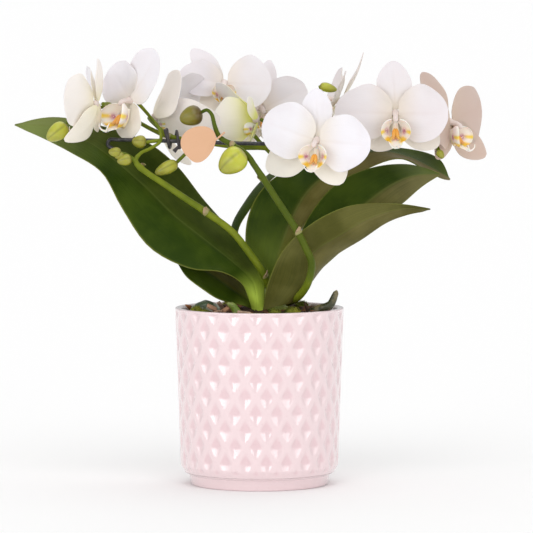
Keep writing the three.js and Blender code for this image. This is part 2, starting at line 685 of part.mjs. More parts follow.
// Three sepals behind two petals, grown together with the column in front
function bloom(shape, grow = 0) {
  const heart = ball(HEART_RADIUS + grow, 5, 3);
  heart.scale(1, 1, HEART_FLATNESS);
  const pieces = [
    solid(heart),
    stem(COLUMN, 5, 1, grow),
    ...shape.sepals.map((each) => tepal(each, sepalHalfWidth, [3, 2], -1, grow)),
    ...shape.petals.map((each) => tepal(each, petalHalfWidth, [4, 2], 1, grow)),
  ];
  return placed(join(pieces), facing(shape));
}

// The lip: two lobes stand up round the column, and the middle lobe points out below it with a
// callus at its root and two tendrils curling back from its tip
function lip(shape, grow = 0) {
  const thickness = TEPAL_THICKNESS + 2 * grow;
  const sideLobe = (way) => (u, v) => {
    const angle = THREE.MathUtils.degToRad(-78 + 146 * u);
    const radius = 8.8 - 2.2 * (2 * v - 1) ** 2;
    return new THREE.Vector3(
      way * radius * Math.cos(angle),
      -9 + radius * Math.sin(angle),
      3 + 3 * Math.sin(Math.PI * u) + 8.5 * v * (0.55 + 0.45 * Math.sin(Math.PI * u)),
    );
  };
  const right = sideLobe(1);
  const left = (u, v) => sideLobe(-1)(1 - u, v);
  const middleLobe = (u, v) => {
    const half = 1.2 + 6.8 * Math.sin(Math.PI * Math.min(1, 0.3 + 0.75 * u));
    return new THREE.Vector3(half * (2 * v - 1), -15.5 - 5.5 * u, 5 + 10 * u + 1.6 * (2 * v - 1) ** 2);
  };
  const callus = ball(CALLUS.radius + grow, 5, 3);
  callus.translate(...CALLUS.centre);
  const tendril = (way) => {
    const points = [[way * 0.8, -20.4, 14.2], [way * 4, -17, 17.6], [way * 3.6, -12, 15]];
    return stem(points.map((p) => [...p, TENDRIL_RADIUS]), 3, 1, grow);
  };
  const pieces = [
    blade(right, 3, 1, thickness),
    blade(left, 3, 1, thickness),
    blade(middleLobe, 2, 2, thickness),
    stem(LIP_CLAW, 5, 1, grow),
    solid(callus),
    tendril(1),
    tendril(-1),
  ];
  const sized = new THREE.Matrix4().makeScale(shape.lip, shape.lip, shape.lip);
  return placed(join(pieces), facing(shape).multiply(sized));
}

// What holds the plant up, and its label

function wire(points, grow = 0) {
  return stem(points.map((p) => [...p, WIRE_RADIUS]), 5, 1, grow);
}

// An open loop round the wire and the spike, with one grip that sticks out
function clip({ centre, radius, tail }, grow = 0) {
  const [x, y, z] = centre;
  const points = [];
  for (let k = 0; k <= 6; k++) {
    const angle = THREE.MathUtils.degToRad(30 + 50 * k);
    const across = radius * Math.cos(angle);
    const high = radius * Math.sin(angle);
    points.push([x + 0.5 * k - 1.5, y + across, z + high, CLIP_THICKNESS]);
  }
  const grip = [points[4], [...tail, CLIP_THICKNESS]];
  return join([stem(points, 4, 1, grow), stem(grip, 4, 1, grow)]);
}

// A pebble-shaped card that hooks on the stem beside it
function tag(grow = 0) {
  const [x, y, z] = TAG_CENTRE;
  const wide = TAG_WIDTH / 2 + grow;
  const high = TAG_HEIGHT / 2 + grow;
  const outline = new THREE.Shape();
  outline.moveTo(-wide * 0.55, -high * 0.72);
  outline.bezierCurveTo(-wide * 1.1, -high * 0.3, -wide * 1.15, high * 0.45, -wide * 0.5, high * 0.8);
  outline.bezierCurveTo(wide * 0.1, high * 1.15, wide * 1.05, high, wide, high * 0.25);
  outline.bezierCurveTo(wide * 0.95, -high * 0.4, wide * 0.1, -high * 1.55, -wide * 0.55, -high * 0.72);
  const card = new THREE.ExtrudeGeometry(outline, {
    depth: TAG_THICKNESS + 2 * grow,
    bevelEnabled: false,
    curveSegments: 6,
  });
  card.rotateX(Math.PI / 2);
  card.translate(x, y + TAG_THICKNESS / 2 + grow, z);
  return solid(card).add(stem(TAG_HOOK, 4, 1, grow));
}

// Assembly: a piece that comes later in the list is cut clear of every piece before it

const pieces = [];

function piece(name, shape, colour, roughness, metalness = 0) {
  pieces.push({ name, shape, colour, roughness, metalness });
}

for (const [name, points] of Object.entries(WIRES))
  piece(name, (grow) => wire(points, grow), COLOURS.wire, 0.5, 0.3);
for (const [name, shape] of Object.entries(SPIKES))
  piece(name, (grow) => spike(shape, grow), COLOURS.stem, 0.5);
for (const [name, shape] of Object.entries(CLIPS))
  piece(name, (grow) => clip(shape, grow), COLOURS.wire, 0.4);
piece("tag", tag, COLOURS.tag, 0.8);
for (const [name, shape] of Object.entries(BLOOMS)) {
  piece("bloom_" + name, (grow) => bloom(shape, grow), COLOURS.bloom, 0.6);
  piece("lip_" + name, (grow) => lip(shape, grow), COLOURS.lip, 0.5);
}
piece("crown", crown, COLOURS.stem, 0.5);
for (const [name, stations] of Object.entries(LEAVES))
  piece(name, (grow) => leaf(stations, grow), COLOURS.leaf, 0.4);
for (const [name, points] of Object.entries(ROOTS))
  piece(name, (grow) => stem(points, 6, 1, grow), COLOURS.root, 0.7);
piece("bark", bark, COLOURS.bark, 0.9);
piece("nursery_pot", nurseryPot, COLOURS.clear, 0.2);
piece("glazed_pot", glazedPot, COLOURS.glaze, 0.15);

function boxesMeet(one, other) {
  const a = one.boundingBox();
  const b = other.boundingBox();
  return [0, 1, 2].every((k) => a.min[k] <= b.max[k] && b.min[k] <= a.max[k]);
}

function assembled() {
  const group = new THREE.Group();
  const before = [];
  for (const { name, shape, colour, roughness, metalness } of pieces) {
    let body = shape(0);
    for (const grown of before) {
      if (!boxesMeet(body, grown)) continue;
      if (body.intersect(grown).volume() > 0) body = body.subtract(grown);
    }
    body = largestBody(body);
    before.push(shape(GAP));
    const material = new THREE.MeshStandardMaterial({ color: colour, roughness, metalness });
    const mesh = new THREE.Mesh(geometryOf(body), material);
    mesh.name = name;
    group.add(mesh);
  }
  return group;
}

export default assembled();
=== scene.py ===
# A potted multiflora moth orchid. Metres, +Z up, -Y is the front.
import math
from functools import partial

import bpy
import numpy as np
from mathutils import Matrix, Vector, noise


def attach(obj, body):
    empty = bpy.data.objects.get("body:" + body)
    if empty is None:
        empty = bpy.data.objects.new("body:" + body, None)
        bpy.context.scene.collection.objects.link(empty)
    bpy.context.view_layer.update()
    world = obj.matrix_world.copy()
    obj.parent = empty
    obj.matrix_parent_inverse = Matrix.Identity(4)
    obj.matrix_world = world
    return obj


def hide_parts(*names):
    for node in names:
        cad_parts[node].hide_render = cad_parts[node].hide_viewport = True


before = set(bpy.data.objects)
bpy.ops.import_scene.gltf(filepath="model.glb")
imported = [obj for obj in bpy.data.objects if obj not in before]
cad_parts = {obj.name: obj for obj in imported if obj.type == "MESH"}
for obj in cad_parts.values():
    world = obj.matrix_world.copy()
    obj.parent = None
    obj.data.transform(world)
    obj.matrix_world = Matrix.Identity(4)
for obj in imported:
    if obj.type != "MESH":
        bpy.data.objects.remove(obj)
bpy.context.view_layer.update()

MM = 0.001

# The view
# A plant on a white ground, seen with a long lens from a little above the pot. A broad soft light
# stands high in front, another above, and a low row of four on each side.
AIM = Vector((0.0045, 0.0, 0.1395))
LIGHT_DISTANCE = 3.0


def aimed(name, kind, place):
    """A camera or a light at a place, turned to look at the plant."""
    made = bpy.data.objects.new(name, kind)
    made.location = place
    made.rotation_euler = (AIM - made.location).to_track_quat("-Z", "Y").to_euler()
    bpy.context.collection.objects.link(made)
    return made


eye = bpy.data.cameras.new("camera")
eye.lens = 275.2
eye.sensor_width = 36.0
eye.clip_end = 3000.0
bpy.context.scene.camera = aimed("camera", eye, (0.0045, -2.6, 0.311))
bpy.context.scene.view_settings.view_transform = "Standard"

sky = bpy.data.worlds.new("studio")
bpy.context.scene.world = sky
sky.use_nodes = True
sky.node_tree.nodes["Background"].inputs["Color"].default_value = (1.0, 1.0, 1.0, 1.0)
sky.node_tree.nodes["Background"].inputs["Strength"].default_value = 0.57

# Each light: its name, its degrees round from the front and up, its spread in degrees, and its power
lights = [("front", 0, 50, 40, 0.7), ("above", 163, 67, 60, 0.75)]
for turn, power in ((26, 0.22), (44, 0.22), (62, 0.16), (80, 0.09)):
    lights += [("left_%d" % turn, -turn, 10, 18, power), ("right_%d" % turn, turn, 10, 18, 0.7 * power)]
for light_name, turn, rise, spread, power in lights:
    turn, rise = math.radians(turn), math.radians(rise)
    lamp = bpy.data.lights.new(light_name, "SUN")
    lamp.energy = power
    lamp.angle = math.radians(spread)
    way = Vector((math.sin(turn) * math.cos(rise), -math.cos(turn) * math.cos(rise), math.sin(rise)))
    aimed(light_name, lamp, AIM + LIGHT_DISTANCE * way)

bpy.ops.mesh.primitive_plane_add(size=4000.0)
floor = bpy.context.object
floor.name = "floor"
floor_finish = bpy.data.materials.new("floor")
floor_finish.use_nodes = True
paper = floor_finish.node_tree.nodes["Principled BSDF"]
paper.inputs["Base Color"].default_value = (0.97, 0.97, 0.97, 1.0)
paper.inputs["Roughness"].default_value = 1.0
paper.inputs["Specular IOR Level"].default_value = 0.0
floor.data.materials.append(floor_finish)

# Glazed pot
# A cast pot with a net of sunk diamonds round its wall, a rolled rim and a stepped foot, in a
# glossy pale pink glaze. Its colour is a deeper pink in each sunk diamond: a little for glaze that
# pools there, and most in the upper half, which is painted shade for the facets that face down.
POT_HEIGHT = 113.5 * MM
POT_RIM_RADIUS = 54.0 * MM
POT_LOW_RADIUS = 50.4 * MM
POT_WALL = 4.6 * MM
POT_FLOOR_TOP = 8.5 * MM
POT_COLUMNS = 432
FOOT_RADIUS = 43.6 * MM
SHOULDER = 10.2 * MM
WALL_LOW, WALL_HIGH, WALL_ROWS = 12.8 * MM, 112.2 * MM, 137
NET = {
    "Columns": 24.0,
    "Half Row": 10.55 * MM,
    "Cell Height": 70.4 * MM,
    "Turn": math.radians(-2.5),
    "Depth": 1.6 * MM,
    "Width": 0.8,
    "Length": 0.86,
    "Lowest": 9.4 * MM,
    "Highest": 112.8 * MM,
}


def feed(socket, value):
    """Link another socket into an input, or set the input itself; a colour has three linear numbers."""
    if isinstance(value, bpy.types.NodeSocket):
        value.id_data.links.new(value, socket)
    else:
        socket.default_value = (*value, 1.0) if socket.type == "RGBA" else value


def add(tree, kind, *first, **given):
    """A node with its first inputs in order, its named inputs, which start with a capital, and its
    settings, which don't."""
    made = tree.nodes.new(kind)
    for name, value in given.items():
        if name[0].islower():
            setattr(made, name, value)
        else:
            feed(made.inputs[name.replace("_", " ")], value)
    for socket, value in zip(made.inputs, first):
        feed(socket, value)
    return made


def tree_of(*values):
    """The node tree that the first socket among the values belongs to."""
    return next(value.id_data for value in values if isinstance(value, bpy.types.NodeSocket))


def sum_of(operation, *values, clamp=False):
    return add(tree_of(*values), "ShaderNodeMath", *values, operation=operation, use_clamp=clamp).outputs[0]


plus, minus, times, divided = (partial(sum_of, each) for each in ("ADD", "SUBTRACT", "MULTIPLY", "DIVIDE"))


def vector_of(operation, vector, **given):
    return add(vector.id_data, "ShaderNodeVectorMath", vector, operation=operation, **given).outputs[0]


def ramp(value, low, high, to_low=0.0, to_high=1.0):
    """A number carried smoothly from one range to another, and held at its ends."""
    return add(value.id_data, "ShaderNodeMapRange", value, low, high, to_low, to_high,
               interpolation_type="SMOOTHSTEP").outputs["Result"]


def blend(factor, one, other):
    made = add(tree_of(factor, one, other), "ShaderNodeMix", data_type="RGBA")
    for k, value in ((0, factor), (6, one), (7, other)):
        feed(made.inputs[k], value)
    return made.outputs[2]


def finish(name, **given):
    """A material and its tree, with the numbers that are the same all over it."""
    made = bpy.data.materials.new(name)
    made.use_nodes = True
    for key, value in given.items():
        made.node_tree.nodes["Principled BSDF"].inputs[key.replace("_", " ")].default_value = value
    return made, made.node_tree


def object_place(tree):
    return add(tree, "ShaderNodeTexCoord").outputs["Object"]


def speckle(tree, scale, detail, place=None, **given):
    """Noise on the piece's own place, or on the vector that it is given."""
    return add(tree, "ShaderNodeTexNoise", Vector=place or object_place(tree), Scale=scale, Detail=detail,
               **given).outputs["Fac"]


def carried(tree, *names):
    """The numbers of those names that the mesh carries on its vertices."""
    return [add(tree, "ShaderNodeAttribute", attribute_name=name).outputs["Fac"] for name in names]


def coloured(tree, colour, height=None, strength=0.0, distance=0.0):
    """The shader gets its colour, and the fine relief of its surface if there is one."""
    shader = tree.nodes["Principled BSDF"]
    feed(shader.inputs["Base Color"], colour)
    if height:
        relief = add(tree, "ShaderNodeBump", Strength=strength, Distance=distance, Height=height)
        feed(shader.inputs["Normal"], relief.outputs[0])


def modifier_tree(name, **numbers):
    """A Geometry Nodes tree with named inputs, and the sockets that give them inside it."""
    group = bpy.data.node_groups.new(name, "GeometryNodeTree")
    group.interface.new_socket("Geometry", in_out="INPUT", socket_type="NodeSocketGeometry")
    for key, value in numbers.items():
        kind = "NodeSocketInt" if isinstance(value, int) else "NodeSocketFloat"
        group.interface.new_socket(key, in_out="INPUT", socket_type=kind).default_value = value
    group.interface.new_socket("Geometry", in_out="OUTPUT", socket_type="NodeSocketGeometry")
    return group, group.nodes.new("NodeGroupInput").outputs


def end_tree(group, geometry, material):
    """The tree's end: the instances made real, smooth, and in their material."""
    real = add(group, "GeometryNodeRealizeInstances", Geometry=geometry)
    smooth = add(group, "GeometryNodeSetShadeSmooth", Geometry=real.outputs[0])
    dressed = add(group, "GeometryNodeSetMaterial", Geometry=smooth.outputs[0], Material=material)
    feed(group.nodes.new("NodeGroupOutput").inputs[0], dressed.outputs[0])


def grown(maker, group, **numbers):
    """The maker, with the plain mesh that a tree makes from its own."""
    modifier = maker.modifiers.new("grow", "NODES")
    modifier.node_group = group
    for socket in group.interface.items_tree:
        if socket.in_out == "INPUT" and socket.name in numbers:
            modifier[socket.identifier] = numbers[socket.name]
    graph = bpy.context.evaluated_depsgraph_get()
    mesh = bpy.data.meshes.new_from_object(maker.evaluated_get(graph))
    maker.modifiers.remove(modifier)
    old, maker.data = maker.data, mesh
    if not mesh.materials:
        mesh.materials.append(old.materials[0])
    bpy.data.meshes.remove(old)
    return maker


def piece_of(name, part, material, edges=()):
    """A piece from a part: its vertices, its faces, and the numbers on its vertices by name."""
    vertices, faces, numbers = part
    mesh = bpy.data.meshes.new(name)
    mesh.from_pydata([tuple(v) for v in vertices], list(edges), [tuple(f) for f in faces])
    for key, values in numbers.items():
        values = np.broadcast_to(values, len(vertices)).astype(np.float32)
        mesh.attributes.new(key, "FLOAT", "POINT").data.foreach_set("value", values)
    mesh.polygons.foreach_set("use_smooth", [True] * len(mesh.polygons))
    mesh.materials.append(material)
    mesh.validate()
    mesh.update()
    made = bpy.data.objects.new(name, mesh)
    bpy.context.collection.objects.link(made)
    return made


def settled(piece, slot, *nodes):
    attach(piece, "root")
    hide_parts(*nodes)


def turned(profile, columns):
    """A turned shape from the axis out and back to it: its vertices and faces."""
    angles = np.linspace(0.0, 2.0 * math.pi, columns, endpoint=False)
    vertices = [(0.0, 0.0, profile[0][1])]
    for radius, height in profile[1:-1]:
        vertices += [(radius * math.cos(a), radius * math.sin(a), height) for a in angles]
    vertices.append((0.0, 0.0, profile[-1][1]))
    last = len(vertices) - 1
    faces = []
    for i in range(columns):
        j = (i + 1) % columns
        faces.append((0, 1 + j, 1 + i))
        for first in range(1, last - columns, columns):
            faces.append((first + i, first + j, first + columns + j, first + columns + i))
        faces.append((last, last - columns + i, last - columns + j))
    return vertices, faces


def rounded(points, steps=5):
    """Points of a profile with each middle corner turned into a small curve of its own radius."""
    out = [points[0][:2]]
    for before, corner, after in zip(points, points[1:], points[2:]):
        centre, radius = Vector(corner[:2]), corner[2] if len(corner) > 2 else 0.0
        if not radius:
            out.append(tuple(centre))
            continue
        start = centre + (Vector(before[:2]) - centre).normalized() * radius
        end = centre + (Vector(after[:2]) - centre).normalized() * radius
        for k in range(steps + 1):
            t = k / steps
            out.append(tuple(start * (1 - t) ** 2 + centre * 2 * t * (1 - t) + end * t * t))
    out.append(points[-1][:2])
    return out


def wall_radius(height):
    share = (height - SHOULDER) / (POT_HEIGHT - SHOULDER)
    return POT_LOW_RADIUS + (POT_RIM_RADIUS - POT_LOW_RADIUS) * share


pot_profile = rounded([
    (0.0, 0.0),
    (FOOT_RADIUS, 0.0, 0.0012),
    (FOOT_RADIUS + 0.0018, 0.007, 0.0006),
    (0.0474, 0.0074, 0.0014),
    (0.0493, SHOULDER, 0.0024),
    (wall_radius(WALL_LOW), WALL_LOW),
])[:-1]
pot_profile += [(wall_radius(height), height) for height in np.linspace(WALL_LOW, WALL_HIGH, WALL_ROWS)]
inner_top = POT_RIM_RADIUS - POT_WALL + 0.0006
inner_low = POT_LOW_RADIUS - POT_WALL - 0.0006
pot_profile += rounded([
    (wall_radius(WALL_HIGH + 0.0002), WALL_HIGH + 0.0002),
    (POT_RIM_RADIUS, POT_HEIGHT, 0.001),
    (inner_top, POT_HEIGHT, 0.0016),
    (inner_top - 0.0002, 0.108),
    (inner_low, POT_FLOOR_TOP, 0.004),
    (0.0, POT_FLOOR_TOP),
])

glaze, tree = finish("pink_glaze", Roughness=0.16, IOR=1.6, Coat_Weight=1.0, Coat_Roughness=0.05,
                     Coat_IOR=1.6)
hollow, = carried(tree, "hollow")
cloud, fleck = speckle(tree, 35.0, 3.0), speckle(tree, 900.0, 1.0)
# Deeper pink in the sunk diamonds: mostly painted shade in their upper halves, a little glaze pooling, plus
# random cloud
pooling_and_painted_shade = plus(ramp(hollow, 0.0, 0.4, 0.0, 0.6), times(cloud, 0.25), clamp=True)
tint = blend(pooling_and_painted_shade, (0.85, 0.685, 0.7), (0.78, 0.55, 0.58))
tint = blend(ramp(fleck, 0.66, 0.74, 0.0, 0.35), tint, (0.7, 0.5, 0.52))
coloured(tree, tint, cloud, 0.25, 0.0004)

group, number = modifier_tree("diamond_net", **NET)
spot = add(group, "GeometryNodeInputPosition").outputs[0]
x, y, z = add(group, "ShaderNodeSeparateXYZ", spot).outputs
angle = divided(minus(sum_of("ARCTAN2", x, times(y, -1.0)), number["Turn"]), 2.0 * math.pi)
column = times(angle, number["Columns"])
half = times(divided(minus(z, number["Cell Height"]), number["Half Row"]), 0.5)
rising, falling = plus(column, half), minus(column, half)
rising = minus(rising, sum_of("ROUND", rising))
falling = minus(falling, sum_of("ROUND", falling))
up = minus(rising, falling)
beside = divided(sum_of("ABSOLUTE", plus(rising, falling)), number["Width"])
over = divided(sum_of("SQRT", plus(times(up, up), 0.012)), number["Length"])
span = sum_of("MAXIMUM", minus(1.0, over), 0.02)
sunk = sum_of("MAXIMUM", minus(span, divided(times(beside, beside), span)), 0.0)
sunk = minus(sum_of("SQRT", plus(times(sunk, sunk), 0.04)), 0.2)
above = ramp(z, number["Lowest"], plus(number["Lowest"], 0.0028))
below = ramp(z, minus(number["Highest"], 0.0016), number["Highest"], 1.0, 0.0)
outside = add(group, "GeometryNodeInputNamedAttribute", data_type="FLOAT", Name="outside").outputs[0]
sunk = times(times(sunk, times(above, below)), outside)
inwards = times(times(sunk, number["Depth"]), -1.0)
way = vector_of("NORMALIZE", add(group, "ShaderNodeCombineXYZ", x, y).outputs[0])
# The stored mask is each sunk diamond's depth, weighted towards its upper half, where the pink is painted
# shade
marked = add(group, "GeometryNodeStoreNamedAttribute", data_type="FLOAT", domain="POINT",
             Geometry=number["Geometry"], Name="hollow", Value=times(sunk, ramp(up, -0.12, 0.12, 0.3, 1.0)))
pressed = add(group, "GeometryNodeSetPosition", Geometry=marked.outputs[0],
              Offset=vector_of("SCALE", way, Scale=inwards))
end_tree(group, pressed.outputs[0], glaze)

vertices, faces = turned(pot_profile, POT_COLUMNS)
x, y, z = np.array(vertices).T
on_wall = (np.hypot(x, y) > wall_radius(z) - 0.0025) & (z > 0.0075) & (z < NET["Highest"])
pot = piece_of("pot", (vertices, faces, {"outside": on_wall}), glaze)
settled(grown(pot, group, **NET), "glaze", "glazed_pot")

# Nursery pot
# The thin clear pot that the orchid was sold in stands inside the glazed one, hidden up to its
# rim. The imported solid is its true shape, so it only gets its finish.
film, tree = finish("clear_film", Roughness=0.22, IOR=1.45, Transmission_Weight=0.75)
haze = speckle(tree, 60.0, 4.0)
coloured(tree, blend(haze, (0.82, 0.86, 0.83), (0.66, 0.72, 0.68)), haze, 0.3, 0.001)
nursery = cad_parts["nursery_pot"]
nursery.data.materials.clear()
nursery.data.materials.append(film)

# Bark
# Coarse orchid bark fills the pot to just under its rim: a rough bed, loose chips of split pine
# on it, and a few tufts of moss between them.
BARK_SURFACE = 110.0 * MM
BARK_RADIUS = 48.4 * MM
BED_TOP = 109.4 * MM
BED_LUMPS = 1.6 * MM
PLATE_RADIUS = 40.5 * MM
CHIP_SIZES = ((11.0, 7.0, 3.2), (8.5, 6.0, 4.0), (13.0, 5.0, 3.0), (6.5, 5.0, 3.6))

bark, tree = finish("bark", Roughness=0.9, Specular_IOR_Level=0.25)
tone, = carried(tree, "tone")
grain, layer = speckle(tree, 260.0, 5.0, Distortion=1.5), speckle(tree, 70.0, 3.0)
brown = blend(ramp(tone, 0.35, 1.0), (0.022, 0.011, 0.007), (0.4, 0.155, 0.05))
brown = blend(ramp(tone, 1.1, 1.6), brown, (0.6, 0.42, 0.3))
brown = blend(ramp(layer, 0.35, 0.7, 0.0, 0.75), brown, (0.09, 0.05, 0.03))
brown = blend(ramp(grain, 0.5, 0.75, 0.0, 0.6), brown, (0.015, 0.01, 0.007))
coloured(tree, brown, grain, 0.8, 0.0012)

bed_profile = [(0.0, 0.0104), (0.0312, 0.0104), (0.0422, 0.0934), (0.0439, 0.0986), (0.0484, 0.1)]
bed_profile += [(BARK_RADIUS, 0.107), (BARK_RADIUS - 0.001, 0.1088)]
bed_profile += [(radius, BED_TOP) for radius in np.linspace(BARK_RADIUS - 0.0025, 0.002, 34)]
bed_profile.append((0.0, 0.1096))
vertices, faces = turned(bed_profile, 110)
bed = []
for x, y, z in vertices:
    lump = noise.noise(Vector((x, y, 0.0)) * 140.0) + 0.6 * noise.noise(Vector((x, y, 3.0)) * 330.0)
    bed.append((x, y, z + (BED_LUMPS * lump if z > 0.108 else 0.0)))
settled(piece_of("bark_bed", (bed, faces, {"tone": 0.1}), bark), "bark", "bark")


def gathered(parts):
    """Several parts as one."""
    faces, values, start = [], {}, 0
    for vertices, part_faces, numbers in parts:
        faces += [tuple(int(i) + start for i in face) for face in part_faces]
        for key, each in numbers.items():
            values.setdefault(key, []).append(np.broadcast_to(each, len(vertices)))
        start += len(vertices)
    values = {key: np.concatenate(each) for key, each in values.items()}
    return np.vstack([part[0] for part in parts]), faces, values


def at_random(group, low, high, seed):
    """Random numbers or vectors between two limits."""
    kind, first = ("FLOAT_VECTOR", 0) if isinstance(low, tuple) else ("FLOAT", 2)
    made = add(group, "FunctionNodeRandomValue", data_type=kind, Seed=seed)
    feed(made.inputs[first], low)
    feed(made.inputs[first + 1], high)
    return made.outputs[first // 2]


def strewn(group, number, instance, lie, **given):
    """Instances on points spread evenly over the maker's faces, each lying as its Euler turn says."""
    spots = add(group, "GeometryNodeDistributePointsOnFaces", distribute_method="POISSON",
                Mesh=number["Geometry"], Distance_Min=number["Spacing"], Density_Max=number["Density"],
                Seed=number["Seed"])
    return add(group, "GeometryNodeInstanceOnPoints", Points=spots.outputs[0], Instance=instance,
               Rotation=add(group, "FunctionNodeEulerToRotation", lie).outputs[0], **given).outputs[0]


def chip(name, size, seed):
    """A split chip: a box worn round at its edges, layered on its faces and ragged at its ends."""
    bpy.ops.mesh.primitive_cube_add(size=1.0)
    block = bpy.context.object
    block.name = name
    rounding = block.modifiers.new("round", "SUBSURF")
    rounding.subdivision_type = "SIMPLE"
    rounding.levels = rounding.render_levels = 2
    graph = bpy.context.evaluated_depsgraph_get()
    block.data = bpy.data.meshes.new_from_object(block.evaluated_get(graph))
    block.modifiers.clear()
    for vertex in block.data.vertices:
        x, y, z = vertex.co
        worn = 1.0 - 0.22 * (max(abs(x) + abs(y), abs(y) + abs(z), abs(x) + abs(z)) - 0.5)
        lump = noise.noise(Vector((x * 2.6, y * 4.0, z * 3.0 + seed * 7.0)))
        layers = 0.1 * noise.noise(Vector((seed, y * 1.5, z * 9.0)))
        vertex.co = Vector((x * (1 + 0.16 * lump), y * (1 + 0.22 * lump + layers), z * (1 + 0.3 * lump)))
        vertex.co = Vector(a * b * MM * worn for a, b in zip(vertex.co, size))
    return block


chips = bpy.data.collections.new("chips")
for k, size in enumerate(CHIP_SIZES):
    block = chip("chip_%d" % k, size, k + 1.0)
    bpy.context.collection.objects.unlink(block)
    chips.objects.link(block)

group, number = modifier_tree("loose_chips", Spacing=0.0052, Density=90000.0, Smallest=0.6, Largest=1.1,
                              Seed=5)
kinds = add(group, "GeometryNodeCollectionInfo", Collection=chips, Separate_Children=True,
            Reset_Children=True)
loose = strewn(group, number, kinds.outputs[0],
               at_random(group, (-0.5, -0.5, 0.0), (0.5, 0.5, 6.28), number["Seed"]), Pick_Instance=True,
               Scale=at_random(group, number["Smallest"], number["Largest"], number["Seed"]))
toned = add(group, "GeometryNodeStoreNamedAttribute", data_type="FLOAT", domain="INSTANCE",
            Geometry=loose, Name="tone", Value=at_random(group, 0.0, 0.75, 9))
end_tree(group, toned.outputs[0], bark)
plate = [(math.cos(a) * PLATE_RADIUS, math.sin(a) * PLATE_RADIUS, BARK_SURFACE + 0.0003)
         for a in np.linspace(0, 6.2832, 33)[:-1]]
plate = piece_of("bark_chips", (plate, [tuple(range(32))], {}), bark)
settled(grown(plate, group), "bark", "bark")

# Placed scraps: which chip, x, y and z in millimetres, size, three turns in degrees, and tone
SCRAPS = (
    (0, -44.5, -10, 114.0, 0.7, 10, 24, 70, 1.05),
    (1, -30, -27, 115.2, 0.75, 40, 25, 15, 1.35),
    (2, -24.5, -25, 116.4, 0.6, -35, 40, 60, 1.5),
    (3, -21.5, -31, 114.2, 0.85, 20, -30, 30, 1.3),
    (0, -27, -35, 113, 0.6, 10, 15, 140, 1.5),
    (1, -9.5, -38, 112.7, 0.95, 5, 8, 10, 1.7),
    (0, 30, -27, 114.6, 0.7, 10, 70, 20, 0.1),
    (2, 35, -31, 113, 0.7, 10, 10, 65, 0.75),
    (1, 43, -14, 113.4, 0.8, 20, 10, 100, 0.9),
)
parts = []
for kind, x, y, z, size, *turns, tone in SCRAPS:
    mesh = chips.objects["chip_%d" % kind].data
    lie = Matrix.Diagonal((1.1 * size, 0.8 * size, 0.5 * size))
    for axis, degrees in zip("XYZ", turns):
        lie = Matrix.Rotation(math.radians(degrees), 3, axis) @ lie
    points = np.array([lie @ v.co for v in mesh.vertices]) + np.array((x, y, z)) * MM
    parts.append((points, [tuple(p.vertices) for p in mesh.polygons], {"tone": tone}))
settled(piece_of("bark_scraps", gathered(parts), bark), "bark", "bark")

# Cushions of moss: x, y, height and radius in millimetres
CUSHIONS = ((21, -36, 113, 5.6), (10, -39, 112.6, 4.6), (-40, -22, 113.6, 4.2), (-34.5, -34, 112.8, 3.4),
            (27, 33, 112, 5.5), (-20, 36, 112, 5.0), (40, 8, 112, 4.4))
CUSHION_PROFILE = ((0.0, -0.8), (0.7, -0.6), (0.95, 0.0), (0.8, 0.5), (0.5, 0.8), (0.2, 0.95), (0.0, 1.0))
moss, tree = finish("moss", Roughness=0.85, Specular_IOR_Level=0.2)
mossy = blend(ramp(speckle(tree, 70.0, 2.0), 0.35, 0.65), (0.1, 0.13, 0.012), (0.27, 0.27, 0.03))
mossy = blend(ramp(speckle(tree, 500.0, 3.0), 0.45, 0.7, 0.0, 0.7), mossy, (0.05, 0.055, 0.01))
coloured(tree, mossy)
leaflet_mesh = bpy.data.meshes.new("moss_leaflet")
leaflet_mesh.from_pydata([(-0.0002, 0, 0), (0.0002, 0, 0), (0, 0.00025, 0.0004), (0, 0, 0.0017)], [],
                         [(0, 1, 3), (1, 2, 3), (2, 0, 3), (0, 2, 1)])
leaflet = bpy.data.objects.new("moss_leaflet", leaflet_mesh)
group, number = modifier_tree("moss_cushions", Spacing=0.00055, Density=3000000.0, Lean=0.9, Seed=3)
sway = at_random(group, (-1.0, -1.0, -3.14), (1.0, 1.0, 3.14), number["Seed"])
tufts = strewn(group, number, add(group, "GeometryNodeObjectInfo", Object=leaflet).outputs["Geometry"],
               vector_of("SCALE", sway, Scale=number["Lean"]))
both = group.nodes.new("GeometryNodeJoinGeometry")
feed(both.inputs[0], tufts)
feed(both.inputs[0], number["Geometry"])
end_tree(group, both.outputs[0], moss)
parts = []
noise.seed_set(3)  # or else each run would move the cushions' wobble
for x, y, top, radius in CUSHIONS:
    vertices, faces = turned(CUSHION_PROFILE, 16)
    points = np.array(vertices) * np.array((radius, radius * 0.8, radius * 0.7)) + np.array((x, y, top - 1.0))
    points += [0.5 * noise.noise_vector(Vector(p) * 0.25) for p in points]
    parts.append((points * MM, faces, {}))
settled(grown(piece_of("moss_cushions", gathered(parts), moss), group), "bark", "bark")

# Leaves
# Six thick strap leaves grow from a short trunk in two ranks. Each is folded along its midrib and
# arches over; it is glossy dark green above, with an olive to brown underside.
LEAF_THICKNESS = 1.7 * MM
